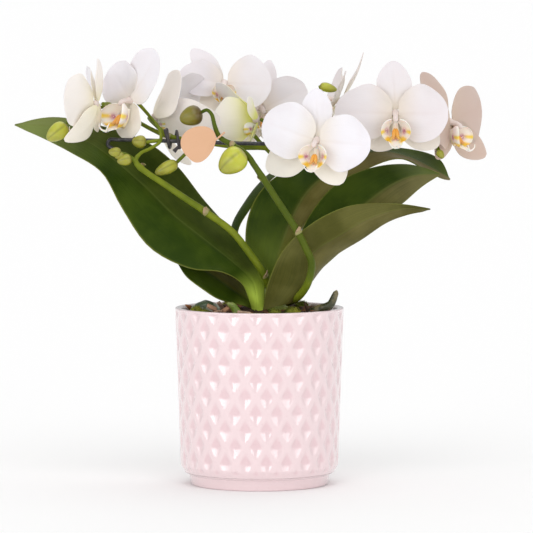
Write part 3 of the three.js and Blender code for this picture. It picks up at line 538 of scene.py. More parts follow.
# Stations from root to tip, in millimetres: a point on one edge, on the rib, and on the other edge
LEAVES = {
    "leaf_left_long": [
        [[-4.5, -9, 112.2], [-1.5, -12, 112.2], [3, -12.5, 112.2]],
        [[-6.5, -12, 118], [-2, -14, 119], [3, -11, 120]],
        [[-11, -19, 129.5], [-5, -13, 131], [3, -3, 137]],
        [[-24, -27, 137.5], [-17, -15, 143], [-6, 0, 150]],
        [[-44, -32, 140.5], [-34, -18, 157], [-20, 2, 165]],
        [[-69, -36, 154], [-55, -20, 174], [-36, 0, 183]],
        [[-87, -34, 179], [-72, -20, 191], [-53, -2, 204]],
        [[-100, -27, 201], [-92, -17, 208], [-72, -3, 219]],
        [[-119, -18, 213], [-110, -12, 220], [-102, -2, 230]],
        [[-138, -9, 222], [-133, -6, 228], [-130, 0, 235]],
        [[-155, -2.5, 229], [-156, -2, 230], [-155, -1.5, 231]],
    ],
    "leaf_left_short": [
        [[-5, -2, 113], [-4, 2, 115], [-2, 8, 118]],
        [[-14, -11, 116], [-12, -3, 121], [-9, 8, 128]],
        [[-29, -21, 122], [-28, -7, 133], [-22, 6, 142]],
        [[-45, -20, 133], [-42, -10, 143], [-38, 1, 152]],
        [[-54, -11, 145], [-52, -8, 149], [-49, -3, 155]],
        [[-61, -5.5, 152], [-62, -5, 153], [-60, -4, 154]],
    ],
    "leaf_back_arching": [
        [[2, 10, 117], [6, 6, 116], [11, 12, 117]],
        [[-8, 15, 144], [12, 8, 146], [21, 14, 152]],
        [[-8, 20, 168], [21, 12, 169], [32, 12, 169]],
        [[2, 24, 188], [31, 16, 186], [46, 12, 183]],
        [[24, 28, 203], [48, 20, 200], [59, 12, 196]],
        [[55, 29, 213], [72, 21, 211], [84, 12, 207.5]],
        [[90, 25, 214], [92, 16, 209], [94, 9, 207]],
        [[115, 16, 208], [109, 10, 202], [108, 6, 200]],
        [[122, 7, 196], [122, 6, 195], [121, 5, 194]],
    ],
    "leaf_right": [
        [[9, 4, 118], [13, -2, 116], [18, 4, 116]],
        [[21, 7, 144], [28, -2, 139], [37, -7, 136]],
        [[32, 10, 171], [51, -3, 166], [63, -12, 159]],
        [[49, 10, 192], [69, -4, 180], [80, -12, 172]],
        [[72, 8, 202], [84, -4, 191], [92, -11, 181]],
        [[94, 4, 205], [98, -4, 197], [102, -9, 190]],
        [[114, -3, 200], [115, -3.5, 198.5], [113, -4, 197]],
    ],
    "leaf_front_right": [
        [[2, -14, 112.4], [16, -20, 117], [27, -10, 120]],
        [[6, -21, 132], [29, -24, 134], [35, -14, 134]],
        [[16, -30, 153], [33, -28, 150], [47, -16, 146]],
        [[36, -35, 171], [50, -30, 162], [64, -19, 158]],
        [[57, -34, 180], [70, -28, 173], [80, -20, 168]],
        [[84, -25, 181], [90, -22, 178], [95, -18, 174]],
        [[107, -16, 178], [108.5, -15, 177], [106, -14, 176]],
    ],
    "leaf_back_upright": [
        [[2, 14, 118], [0, 22, 116], [3, 28, 118]],
        [[-9, 17, 141], [-11, 26, 141], [-8, 36, 143]],
        [[-14, 22, 161], [-18, 30, 160], [-15, 42, 162]],
        [[-4, 28, 178], [-8, 36, 180], [-5, 48, 181]],
        [[8, 34, 194], [4, 42, 194], [7, 52, 196]],
        [[21, 42, 204], [18, 47, 204], [20, 53, 206]],
        [[28, 50, 210], [28.5, 51.5, 211], [28, 53, 210]],
    ],
}
# The side of each leaf that its groove is on, how far the dull colour of the underside shows on
# the two halves in front and on the back, how fresh the green of its sheath is, how far its dull
# side turns a lighter taupe towards the tip as a painted highlight, and how pale its tip is
LEAF_SIDES = {
    "leaf_left_long": (-1, 0.0, 0.12, 1.0, 1.0, 0.0, 0.5),
    "leaf_left_short": (-1, 0.0, 0.75, 1.0, 0.3, 0.0, 0.3),
    "leaf_back_arching": (1, 0.0, 1.0, 0.0, 0.2, 1.0, 0.15),
    "leaf_right": (1, 0.0, 0.75, 0.0, 0.2, 0.5, 0.25),
    "leaf_front_right": (1, 0.65, 0.9, 0.0, 0.0, 0.1, 0.0),
    "leaf_back_upright": (1, 0.15, 0.3, 0.0, 0.2, 0.0, 0.3),
}


def smooth_path(points, places):
    """Points along a centripetal curve through the given ones, at places from 0 to 1."""
    points = np.asarray(points, float)
    count = len(points)
    padded = np.vstack([2 * points[0] - points[1], points, 2 * points[-1] - points[-2]])
    out = []
    for place in np.clip(places, 0.0, 1.0) * (count - 1):
        start = min(int(place), count - 2)
        t = place - start
        p0, p1, p2, p3 = padded[start:start + 4]
        d0, d1, d2 = (max(np.linalg.norm(b - a) ** 0.5, 1e-4) for a, b in ((p0, p1), (p1, p2), (p2, p3)))
        m1 = ((p1 - p0) / d0 - (p2 - p0) / (d0 + d1) + (p2 - p1) / d1) * d1
        m2 = ((p2 - p1) / d1 - (p3 - p1) / (d1 + d2) + (p3 - p2) / d2) * d1
        out.append(p1 + m1 * t + (3 * (p2 - p1) - 2 * m1 - m2) * t ** 2 + (2 * (p1 - p2) + m1 + m2) * t ** 3)
    return np.array(out)


def normals_of(grid):
    normal = np.cross(np.gradient(grid, axis=0), np.gradient(grid, axis=1))
    return normal / np.maximum(np.linalg.norm(normal, axis=2, keepdims=True), 1e-12)


def blade(middle, thickness, **numbers):
    """A closed thin blade about a grid of points, as a part. Each of its numbers is one for both
    sides, or a pair: the side that along x across points to, then the other."""
    shape = middle.shape[:2]
    off = normals_of(middle) * 0.5 * np.broadcast_to(thickness, shape)[..., None]
    vertices = np.vstack([(middle + off).reshape(-1, 3), (middle - off).reshape(-1, 3)])
    count = shape[0] * shape[1]
    at = np.arange(count).reshape(shape)
    top = np.stack([at[:-1, :-1], at[1:, :-1], at[1:, 1:], at[:-1, 1:]], axis=-1).reshape(-1, 4)
    rim = np.concatenate([at[:-1, 0], at[-1, :-1], at[:0:-1, -1], at[0, :0:-1]])
    after = np.roll(rim, -1)
    edge = np.stack([after, rim, rim + count, after + count], axis=-1)
    values = {}
    for key, each in numbers.items():
        sides = each if isinstance(each, tuple) else (each, each)
        values[key] = np.concatenate([np.broadcast_to(side, shape).ravel() for side in sides])
    return vertices, np.concatenate([top, top[:, ::-1] + count, edge]), values


leaf_skin, tree = finish("leaf_skin", Roughness=0.4, Specular_IOR_Level=0.1)
along, across, dull, fresh, brown, pale = carried(tree, "along", "across", "dull", "fresh", "brown", "pale")
flow = add(tree, "ShaderNodeCombineXYZ", times(across, 34.0), times(along, 2.2)).outputs[0]
veins = speckle(tree, 1.0, 2.0, flow, Roughness=0.55)
mottle = speckle(tree, 45.0, 4.0)
off_rib = sum_of("ABSOLUTE", across)
green = blend(ramp(mottle, 0.32, 0.7), (0.02, 0.042, 0.001), (0.044, 0.073, 0.004))
green = blend(times(ramp(along, 0.7, 0.97), pale), green, (0.33, 0.39, 0.12))
dull_side = blend(ramp(mottle, 0.35, 0.7), (0.105, 0.092, 0.018), (0.17, 0.148, 0.042))
# Towards the tip the dull side turns a lighter taupe: a painted highlight
dull_side = blend(times(ramp(along, 0.45, 0.8), brown), dull_side, (0.19, 0.16, 0.08))
green = blend(dull, green, dull_side)
wrapped = times(ramp(along, 0.1, 0.27, 1.0, 0.0), fresh)
green = blend(wrapped, green, blend(veins, (0.36, 0.5, 0.045), (0.56, 0.72, 0.1)))
green = blend(ramp(veins, 0.42, 0.75, 0.0, 0.25), green, (0.012, 0.03, 0.002))
# A lighter line along the midrib: a painted highlight on the fold
green = blend(ramp(off_rib, 0.0, 0.05, 0.25, 0.0), green, (0.14, 0.18, 0.04))
green = blend(ramp(off_rib, 0.96, 1.0, 0.0, 0.6), green, (0.22, 0.24, 0.04))
coloured(tree, green, veins, 0.35, 0.0005)

length = (0.5 - 0.5 * np.cos(np.linspace(0.0, math.pi, 72)))[:, None]
share = (np.sin(np.linspace(-0.5, 0.5, 27) * math.pi) * 0.25 + np.linspace(-0.75, 0.75, 27))[None]
tip = np.sqrt(np.clip(1.0 - (np.clip(length - 0.955, 0.0, 1.0) / 0.046) ** 2, 0.02, 1.0))
for number_of_leaf, (leaf, stations) in enumerate(LEAVES.items()):
    stations = np.reshape(stations, (-1, 3, 3))
    one, rib, other = (smooth_path(stations[:, k], length[:, 0])[:, None] for k in range(3))
    s = (share * tip)[..., None]
    middle = (rib + s * (other - one) / 2 + s ** 2 * ((one + other) / 2 - rib)) * MM
    upper, dull_one, dull_other, dull_back, fresh, brown, pale = LEAF_SIDES[leaf]
    crease = -0.0007 * upper * np.exp(-(share / 0.07) ** 2) * np.sin(math.pi * length)
    wave = 0.0005 * np.sin(17.0 * length + 2.1 * number_of_leaf) * np.abs(share) ** 3
    middle = middle + normals_of(middle) * (crease + wave)[..., None]
    thick = (0.0006 + (LEAF_THICKNESS - 0.0004) * np.exp(-(share / 0.42) ** 2)) * tip ** 0.5
    dull_front = dull_one + (dull_other - dull_one) / (1.0 + np.exp(-share / 0.03))
    part = blade(middle, thick, along=length, across=share, dull=(dull_back, dull_front), fresh=fresh,
                 brown=brown, pale=pale)
    settled(piece_of(leaf + "_skin", part, leaf_skin), "leaf", leaf)

# Trunk and roots
# The short trunk is wrapped in the pale green bases of its leaves. Three aerial roots leave it
# through the bark, silver-green with a rough skin and brown where they have dried.
CROWN = ((9, 1, 92, 7), (9, 1, 104, 9), (9, 2, 114, 9), (10, 2, 122, 7.5), (11, 3, 130, 4.5))
ROOTS = {
    "root_left": (
        (-26, -11, 104, 3.4), (-28, -14, 112, 4), (-34, -15, 114.8, 4.2), (-40, -14, 112, 3.8),
        (-42, -12, 104, 3.4),
    ),
    "root_stub": ((-14, -28, 103, 3), (-14, -31, 111, 2.8), (-16, -31, 115.5, 2.3), (-19, -31, 118, 1.9)),
    "root_right": (
        (31, -20, 104, 3), (34, -22, 111.5, 3.1), (40, -24, 114.6, 2.9), (45, -25, 117, 2.6),
        (47.3, -25, 121.5, 2.2), (48.4, -25, 124.4, 1.8), (48.8, -25, 125.9, 0.8),
    ),
}
# Each root's dark and light colours, and the colour of its end
ROOT_COLOURS = {
    "root_left": ((0.045, 0.075, 0.03), (0.5, 0.53, 0.45), (0.1, 0.13, 0.05)),
    "root_stub": ((0.14, 0.22, 0.02), (0.34, 0.34, 0.12), (0.2, 0.19, 0.06)),
    "root_right": ((0.035, 0.04, 0.012), (0.18, 0.15, 0.07), (0.33, 0.25, 0.16)),
}


def strand(knots, steps):
    """Fine points and radii along knots of x, y, z and radius in millimetres."""
    knots = np.asarray(knots, float)
    places = np.linspace(0.0, 1.0, (len(knots) - 1) * steps + 1)
    radii = np.interp(places * (len(knots) - 1), np.arange(len(knots)), knots[:, 3])
    return smooth_path(knots[:, :3], places) * MM, radii * MM


def stalks(name, strands, material, slot, node, sides, roughness=0.0, grain=300.0):
    """A settled piece with a round body on each strand, of the strand's own radius and a rough skin."""
    points, edges, numbers = [], [], {"thick": [], "along": []}
    for middle, radii in strands:
        edges += [(k, k + 1) for k in range(len(points), len(points) + len(radii) - 1)]
        points += list(middle)
        numbers["thick"] += list(radii)
        numbers["along"] += list(np.linspace(0.0, 1.0, len(radii)))
    group, number = modifier_tree("stalk", Sides=sides, Roughness=roughness, Grain=grain)
    curve = add(group, "GeometryNodeMeshToCurve", Mesh=number["Geometry"])
    ring = add(group, "GeometryNodeCurvePrimitiveCircle", Resolution=number["Sides"], Radius=1.0)
    thick = add(group, "GeometryNodeInputNamedAttribute", data_type="FLOAT", Name="thick").outputs[0]
    body = add(group, "GeometryNodeCurveToMesh", Curve=curve.outputs[0], Profile_Curve=ring.outputs[0],
               Scale=thick, Fill_Caps=True)
    lumps = speckle(group, number["Grain"], 2.0, add(group, "GeometryNodeInputPosition").outputs[0])
    shift = vector_of("SCALE", add(group, "GeometryNodeInputNormal").outputs[0],
                      Scale=times(minus(lumps, 0.5), number["Roughness"]))
    shaped = add(group, "GeometryNodeSetPosition", Geometry=body.outputs[0], Offset=shift)
    end_tree(group, shaped.outputs[0], material)
    settled(grown(piece_of(name, (points, [], numbers), material, edges), group), slot, node)


sheath, tree = finish("sheath", Roughness=0.45)
streak = add(tree, "ShaderNodeMapping", Vector=object_place(tree), Scale=(600.0, 600.0, 25.0)).outputs[0]
streaks = speckle(tree, 1.0, 2.0, streak)
height = add(tree, "ShaderNodeSeparateXYZ", object_place(tree)).outputs[2]
light_green = blend(streaks, (0.19, 0.27, 0.02), (0.33, 0.4, 0.05))
light_green = blend(ramp(height, 0.104, 0.113, 0.8, 0.0), light_green, (0.2, 0.13, 0.07))
coloured(tree, light_green, streaks, 0.5, 0.0006)
stalks("trunk", [strand(CROWN, 10)], sheath, "stem", "crown", 40, 0.0012, 160.0)

for root, knots in ROOTS.items():
    root_skin, tree = finish(root, Roughness=0.34, Specular_IOR_Level=0.5)
    dark, light, end = ROOT_COLOURS[root]
    along, = carried(tree, "along")
    pits = speckle(tree, 1100.0, 3.0)
    silver = blend(ramp(speckle(tree, 150.0, 4.0), 0.46, 0.6), dark, light)
    silver = blend(ramp(along, 0.72, 0.95), silver, end)
    silver = blend(ramp(pits, 0.55, 0.7, 0.0, 0.6), silver, (0.06, 0.045, 0.025))
    coloured(tree, silver, pits, 0.6, 0.0005)
    x, y, z, thick = knots[-1]
    if z > BARK_SURFACE / MM:
        knots += ((x, y, z + 0.35 * thick, 0.75 * thick), (x, y, z + 0.55 * thick, 0.3 * thick))
    stalks(root + "_skin", [strand(knots, 10)], root_skin, "root", root, 20, 0.0011, 220.0)

# Support wires
# Two plastic-coated wires stand in the bark behind the leaves, bend over at the height of the
# blooms, and end in a small hook. Everything on the spikes hangs on them.
WIRE_RADIUS = 1.25
WIRES = {
    "wire_left": (
        (-93, -21, 215.5), (-96, -19, 218), (-95, -18, 221), (-88, -18, 221.2), (-50, -19, 220.2),
        (-12, -19, 219), (6, -17, 218.6), (22, -8, 218), (31, 10, 217), (35, 29, 214), (36, 41, 204),
        (28, 42, 167), (14, 34, 122), (13, 28, 84), (13, 26, 51),
    ),
    "wire_right": (
        (82, -1, 213.5), (81, 0, 218), (76, 4, 221.5), (62, 12, 221), (52, 28, 217),
        (47, 42, 206), (37, 44, 167), (22, 36, 122), (20, 28, 84), (20, 26, 51),
    ),
}
# Each clip: the centre of its loop, the loop's radius, and the end of its tail
CLIPS = {
    "clip_left_inner": ((-51.5, -16.4, 221.2), 5.4, (-54, -21, 214)),
    "clip_left_outer": ((-57.8, -16.2, 221.9), 5.9, (-59.5, -22, 228)),
    "clip_right": ((76, 6.2, 224.2), 6.5, (80, -3.5, 218)),
}

coat, tree = finish("wire_coat", Roughness=0.3)
scuff = speckle(tree, 420.0, 3.0)
worn = blend(ramp(scuff, 0.45, 0.75), (0.018, 0.017, 0.02), (0.075, 0.072, 0.075))
coloured(tree, worn, scuff, 0.2, 0.0002)
for wire, knots in WIRES.items():
    stalks(wire + "_coat", [strand([(*k, WIRE_RADIUS) for k in knots], 10)], coat, "wire", wire, 14)

clip_plastic, tree = finish("clip_plastic", Roughness=0.5)
moulded = speckle(tree, 700.0, 2.0)
coloured(tree, blend(moulded, (0.03, 0.025, 0.028), (0.07, 0.058, 0.062)), moulded, 0.15, 0.0002)
for clip, ((x, y, z), radius, tail) in CLIPS.items():
    loop = []
    for k in range(7):
        angle = math.radians(30 + 50 * k)
        loop.append((x + 0.5 * k - 1.5, y + radius * math.cos(angle), z + radius * math.sin(angle), 0.9))
    grip = (loop[4], (*[(a + b) / 2 for a, b in zip(loop[4], tail)], 1.1), (*tail, 1.4))
    stalks(clip + "_loop", [strand(loop, 8), strand(grip, 6)], clip_plastic, "clip", clip, 12)

# Spikes
# Each spike is a green stem that zigzags a little at its nodes, with a papery bract on each node,
# short stalks to the blooms, and closed buds with three seams at its end.

# Knots and nodes are x, y, z and radius in millimetres. A bud is its base, its tip, its radius and
# how dark and olive it is.
SPIKES = {
    "spike_front_left": {
        "stems": (
            ((8, -2, 121, 2.6), (3, -13, 135, 2.4), (-9, -21, 153, 2.3), (-18, -25, 164, 2.2),
             (-34, -29, 176, 2.1), (-56, -32, 191, 2), (-78, -33, 208, 1.7), (-75, -31, 213, 1.1),
             (-69, -27, 216, 1.05), (-63, -24, 220, 1.05), (-63, -17, 227, 1.05), (-70, -8, 236, 1.05),
             (-77.5, -6.5, 244.5, 1.2)),
            ((-78, -33, 208, 1.5), (-83, -34, 212, 1.1), (-89, -34, 214, 0.9)),
            ((-80, -33.5, 210, 1), (-82, -34.5, 209, 0.9)),
            ((-63, -23, 221, 1.2), (-72.5, -25, 219.8, 1.1)),
        ),
        "nodes": ((-34, -29, 176, 2.8), (-74, -33, 205, 2.6), (3, -13, 135, 2.8)),
        "buds": (
            ((-87, -34, 213.6), (-95, -34, 214.2), 3.2, 0.55),
            ((-85, -34, 212.5), (-91, -34.5, 210.6), 2.2, 0.6),
            ((-80.5, -34, 209.8), (-89.5, -35, 208), 3.7, 0.5),
            ((-71.5, -25, 219.7), (-80.5, -26.3, 220.6), 4.3, 0.6),
        ),
    },
    "spike_front_right": {
        "stems": (
            ((18, -6, 117, 2.6), (25, -22, 122, 2.5), (31, -32, 132, 2.4), (33, -36, 144, 2.3),
             (29, -38, 154, 2.2), (24, -40, 164, 2.2), (10, -44, 186, 2.1), (-3, -46, 206, 1.9),
             (-8, -46, 213, 1.8), (-17, -46, 219, 1.7), (-25, -45, 224, 1.6), (-28, -44, 231, 1.4),
             (-30, -42, 238, 1.2), (-33, -40, 240.6, 1.1), (-37, -38, 238.8, 1.1)),
            ((-8, -46, 213, 1.4), (-11, -47, 214, 1.3)),
        ),
        "nodes": ((24, -40, 164, 2.8), (2, -45.2, 198.5, 2.6), (-17, -46, 219, 2.2)),
        "buds": (
            ((-36, -38, 238.8), (-50, -36.5, 234.3), 6.6, 1.0),
            ((-9.5, -47.5, 214.5), (-24.5, -49, 202.5), 8.6, 0.0),
        ),
    },
    "spike_back_left": {
        "stems": (
            ((15, 13, 117, 2.6), (20, 25, 149, 2.5), (23, 31, 180, 2.4), (20, 30, 200, 2.3),
             (13, 10, 211, 2.2), (4, -10, 216, 2), (-12, -14, 216.6, 1.9), (-38, -14, 220, 1.7),
             (-57, -14, 223, 1.5), (-70, -4, 228, 1.3), (-84, 3, 236, 1.2), (-94, -6, 243, 1.1),
             (-99, -21, 244, 1.2)),
            ((-57, -14, 223, 1.4), (-64, -9, 228.5, 1.2), (-69, -1, 232.5, 1.1), (-70.5, 4, 234.3, 1.2)),
            ((20, 30, 200, 1.5), (2, 30, 216, 1.3), (-15, 33, 238, 1.2), (-24, 33, 255, 1.2)),
            ((13, 10, 211, 1.4), (10, 6, 222, 1.2), (4, 1, 231, 1.1), (1, -1, 233.8, 1.2)),
            ((-38, -14, 220, 1.2), (-46, -18, 213, 1.1), (-53, -20.4, 206.3, 1.1)),
            ((-94, -6, 243, 1.1), (-106, -4, 240, 1), (-119, -13, 236, 1), (-123, -21.8, 230, 1)),
        ),
        "nodes": ((-57, -14, 223, 2.2), (-12, -14, 216.6, 2.5)),
        "buds": (
            ((-52, -20.2, 206.6), (-66, -24, 200), 4.3, 0.25),
            ((-122, -21.3, 230.4), (-134, -26, 221.5), 5.8, 0.0),
        ),
    },
    "spike_back_right": {
        "stems": (
            ((20, 9, 117, 2.6), (28, 24, 152, 2.5), (35, 33, 187, 2.4), (41, 30, 210, 2.3),
             (48, 18, 222, 2.1), (66, 10, 227, 2), (90, 6, 227, 1.8), (109, 10, 224, 1.5),
             (115, 17, 226, 1.2), (118.5, 18.5, 230.5, 1.2)),
            ((66, 10, 227, 1.3), (63, 30, 235, 1.1), (54.6, 49, 242.4, 1.2)),
            ((41, 30, 210, 1.4), (30, 46, 226, 1.1), (12, 50, 235, 1.1), (2, 47.5, 237.5, 1.2)),
            ((41, 30, 210, 1.4), (38, 10, 217, 1.2), (35, -14, 221, 1.1), (36.9, -30.5, 221.5, 1.2)),
            ((90, 6, 227, 1.3), (87, -2, 234, 1.1), (86.3, -10, 237.6, 1.2)),
            ((48, 18, 222, 1.3), (44, 5, 238, 1.1), (38.5, -4, 255, 1)),
            ((109, 10, 224, 1.3), (113, 4, 217, 1.2), (114.5, 1, 213.5, 1.2)),
        ),
        "nodes": ((66, 10, 227, 2.6), (90, 6, 227, 2.4)),
        "buds": (
            ((38.5, -4, 255.3), (49.3, -4, 252.3), 3.1, 0.2),
            ((114, 1.6, 213.6), (117.2, -1, 208.8), 2.5, 0.3),
        ),
    },
}

stem_skin, tree = finish("stem_skin", Roughness=0.4, Specular_IOR_Level=0.15)
dots = speckle(tree, 1500.0, 1.0)
green = blend(ramp(speckle(tree, 55.0, 3.0), 0.35, 0.68), (0.11, 0.15, 0.008), (0.2, 0.24, 0.014))
depth = add(tree, "ShaderNodeSeparateXYZ", object_place(tree)).outputs[1]
green = blend(ramp(depth, -0.038, -0.034, 0.75, 0.0), green, (0.045, 0.072, 0.003))
green = blend(ramp(dots, 0.6, 0.7, 0.0, 0.35), green, (0.1, 0.13, 0.04))
coloured(tree, green, dots, 0.15, 0.0002)

bract_skin, tree = finish("bract_skin", Roughness=0.6)
along, = carried(tree, "along")
husk = blend(ramp(along, 0.1, 0.75), (0.3, 0.28, 0.1), (0.42, 0.29, 0.17))
husk = blend(ramp(speckle(tree, 500.0, 3.0), 0.5, 0.7, 0.0, 0.5), husk, (0.16, 0.1, 0.04))
coloured(tree, husk)

bud_skin, tree = finish("bud_skin", Roughness=0.3, Specular_IOR_Level=0.5, Subsurface_Weight=0.1,
                        Subsurface_Scale=0.002)
along, seam, olive = carried(tree, "along", "seam", "olive")
lime = blend(ramp(along, 0.25, 1.0), (0.5, 0.52, 0.045), (0.36, 0.36, 0.05))
lime = blend(ramp(speckle(tree, 180.0, 3.0), 0.45, 0.75, 0.0, 0.5), lime, (0.6, 0.6, 0.1))
lime = blend(ramp(along, 0.0, 0.16, 0.7, 0.0), lime, (0.17, 0.14, 0.03))
dusky = blend(ramp(along, 0.05, 0.5), (0.11, 0.07, 0.015), (0.2, 0.175, 0.014))
# Darker along the three seams: painted shade in their grooves
coloured(tree, blend(times(seam, 0.55), blend(olive, lime, dusky), (0.16, 0.15, 0.03)))


def frame_along(start, end):
    """Three unit vectors: along a line, and two across it."""
    along = (Vector(end) - Vector(start)).normalized()
    side = along.cross(Vector((0.0, 0.3, 1.0))).normalized()
    return along, side, along.cross(side)


def capped(rings, sides):
    """The faces of a body of rings of so many points, with a flat end on the first and the last."""
    faces = [tuple(range(sides))[::-1], tuple(range((rings - 1) * sides, rings * sides))]
    for start in range(0, (rings - 1) * sides, sides):
        for k in range(sides):
            a, b = start + k, start + (k + 1) % sides
            faces.append((a, b, b + sides, a + sides))
    return faces


def bud_shape(base, tip, radius, olive):
    """A bud as its outer sepals close it: full near its base, with three seams that meet at its tip."""
    along, side, other = frame_along(base, tip)
    length = (Vector(tip) - Vector(base)).length
    rings, sides = 23, 30
    vertices, places, seams = [], [], []
    for i in range(rings):
        turn = math.pi * (0.015 + 0.97 * i / (rings - 1))
        t = 0.5 - 0.5 * math.cos(turn)
        wide = radius * (1.0 - 0.22 * math.cos(turn + math.pi) - 0.06) * math.sin(turn) ** 0.92
        for k in range(sides):
            angle = 2.0 * math.pi * k / sides
            groove = math.exp(-(abs(math.cos(1.5 * angle)) / 0.16) ** 2) * min(1.0, 3.0 * t)
            r = wide * (1.0 - 0.06 * groove + 0.025 * math.cos(3.0 * angle))
            out = side * (r * math.cos(angle)) + other * (r * math.sin(angle))
            vertices.append((Vector(base) + along * (t * length) + out) * MM)
            places.append(t)
            seams.append(groove)
    return np.array(vertices), capped(rings, sides), {"along": places, "seam": seams, "olive": olive}


def bract_shape(centre, along, side, radius, length):
    """A papery scale that wraps half the stem at a node and stands off it at its pointed end."""
    other = along.cross(side)
    u = np.linspace(0.0, 1.0, 10)
    middle = np.zeros((10, 9, 3))
    for i, t in enumerate(u):
        spread = 1.75 * (1.0 - t ** 1.6) + 0.04
        off = radius * (1.02 + 0.45 * t * t)
        for j, share in enumerate(np.linspace(-1.0, 1.0, 9)):
            angle = spread * share
            out = side * math.cos(angle) + other * math.sin(angle)
            middle[i, j] = centre + along * (length * t) + out * off
    return blade(middle * MM, 0.35 * MM, along=u[:, None])


for spike, parts in SPIKES.items():
    strands = [strand(knots, 8) for knots in parts["stems"]]
    for points, radii in strands:
        for x, y, z, wide in parts["nodes"]:
            near = np.linalg.norm(points - np.array((x, y, z)) * MM, axis=1)
            radii += (wide * MM * 0.9 - radii).clip(0.0) * np.exp(-(near / 0.0022) ** 2)
    stalks(spike + "_stems", strands, stem_skin, "stem", spike, 16, 0.00025, 400.0)
    scales = []
    main = strands[0][0] / MM
    for k, (x, y, z, wide) in enumerate(parts["nodes"]):
        near = int(np.argmin(np.linalg.norm(main - np.array((x, y, z)), axis=1)))
        near = min(max(near, 1), len(main) - 2)
        along, side, other = frame_along(main[near - 1], main[near + 1])
        side = side if k % 2 else -side
        scales.append(bract_shape(Vector((x, y, z)) - along * 1.2, along, side, wide * 0.9, wide * 1.5))
    settled(piece_of(spike + "_bracts", gathered(scales), bract_skin), "stem", spike)
    buds = gathered([bud_shape(*each) for each in parts["buds"]])
    settled(piece_of(spike + "_buds", buds, bud_skin), "stem", spike)

# Blooms
# A bloom has three sepals behind two broad petals, all soft, white and faintly veined, with a pink
# cast where they shade each other and a green one at the base. The column stands at their middle.

# Each bloom: its centre in millimetres, the degrees that it is turned and lifted, the size of its
# lip, how green its base is, and how much painted shade turns its skin beige. Then its sepals and its
# petals, each with its angle, length, width, lean and bend.
BLOOMS = {
    "far_left": (
        (-103, -24, 244), -105, 0, 1, 0.4, 0.0,
        ((90, 31, 15, -10, 0.18), (228, 23, 18, 4, 0.1), (-53, 33, 21, 4, 0.45)),
        ((146, 33, 32, 6, 0.3), (8, 33, 34, 16, 0.05)),
    ),
    "left": (
        (-81.7, -10, 246), -48, 8, 1.2, 0.1, 0.0,
        ((118, 24, 19, -8, 0), (208, 30, 20, 4, 0), (-84, 26, 25, 4, 0)),
        ((127, 27, 33, 8, 0), (47, 42, 31, 4, 0.05)),
    ),
    "middle_left": (
        (-67.5, 4, 235), 95, 10, 0.55, 0.15, 0.03,
        ((128, 38, 32, 35, 0), (300, 44, 26, 13, 0.25), (-20, 36, 24, 28, 0.15)),
        ((196, 44, 28, 42, 0.22), (36, 44, 34, 52, 0.05)),
    ),
    "top": (
        (-22.7, 28, 256), 0, 14, 0.9, 0.1, 0.1,
        ((134, 31, 14, 4, 0), (242, 26, 19, 0, 0), (-52, 24, 20, 0, 0)),
        ((172, 30, 24, 8, 0), (-4, 31, 36, 8, 0)),
    ),
    "middle_turned": (
        (-1.5, -1, 233.8), -95, 0, 0.65, 2.4, 0.0,
        ((50, 18, 16, 20, 0), (258, 28, 20, 16, 0.3), (-168, 26, 20, 30, 0.1)),
        ((-8, 32, 31, 55, 0), (125, 36, 34, 48, 0)),
    ),
    "middle_back": (
        (1.5, 44, 239), 6, 8, 0.85, 0.1, 0.15,
        ((80, 34, 13, 4, -0.1), (235, 27, 19, 0, 0), (-60, 27, 19, 0, 0)),
        ((158, 24, 30, 8, 0), (26, 32, 28, 8, 0)),
    ),
    "front": (
        (36.2, -34, 221.5), -14, 0, 1.05, 0.16, 0.0,
        ((89, 33, 20.5, 6, 0), (211, 38, 24, 2, 0), (-60, 32, 23, 2, 0)),
        ((160, 37, 36, 10, -0.06), (-4, 38, 36, 12, -0.06)),
    ),
    "right": (
        (86.2, -14, 238), 0, -6, 1.1, 0.16, 0.22,
        ((93, 34, 22, 6, 0), (238, 28, 24, 2, 0), (-38, 35, 22, 2, 0)),
        ((177, 40, 36, 10, -0.06), (1, 35, 37, 12, -0.06)),
    ),
    "far_right": (
        (122, 16, 231.5), 55, 0, 1, 0.1, 0.92,
        ((127, 40, 20, -8, 0), (236, 28, 19, 2, 0), (-40, 38, 22, 4, 0.25)),
        ((186, 28, 30, 8, 0), (14, 38, 38, 0, 0)),
    ),
    "back_turned": (
        (51.5, 50, 244), -90, 27, 0.8, 0.3, 0.3,
        ((90, 37, 16, -5, 0.12), (228, 24, 17, 2, 0), (-48, 22, 17, 2, 0)),
        ((146, 28, 26, 14, 0.05), (30, 28, 26, 6, 0.05)),
    ),
}

petal_skin, tree = finish("petal_skin", Roughness=0.55, Specular_IOR_Level=0.3, Subsurface_Weight=0.25,
                          Subsurface_Scale=0.004, Subsurface_Radius=(1.0, 0.85, 0.8),
                          Sheen_Weight=0.15, Sheen_Roughness=0.5)
along, across, green, cream, beige, back = carried(
    tree, "along", "across", "green", "cream", "beige", "back")
fan = add(tree, "ShaderNodeCombineXYZ", times(across, 13.0), times(along, 1.6)).outputs[0]
veins = speckle(tree, 1.0, 3.0, fan, Distortion=0.6)
cells = speckle(tree, 1600.0, 2.0)
white = blend(ramp(speckle(tree, 60.0, 2.0), 0.35, 0.75), (0.885, 0.855, 0.915), (0.855, 0.81, 0.865))
# Towards the base the white turns pink-beige: painted shade from the lip and the other tepals
white = blend(ramp(along, 0.0, 0.5, 0.75, 0.0), white, (0.87, 0.77, 0.7))
# Darker pink along the middle crease near the base: painted shade
fold = times(ramp(sum_of("ABSOLUTE", across), 0.0, 0.12, 0.2, 0.0), minus(1.0, along))
white = blend(fold, white, (0.7, 0.58, 0.55))
white = blend(times(back, 0.7), white, (0.95, 0.86, 0.77))
white = blend(ramp(veins, 0.56, 0.74, 0.0, 0.25), white, (0.81, 0.73, 0.78))
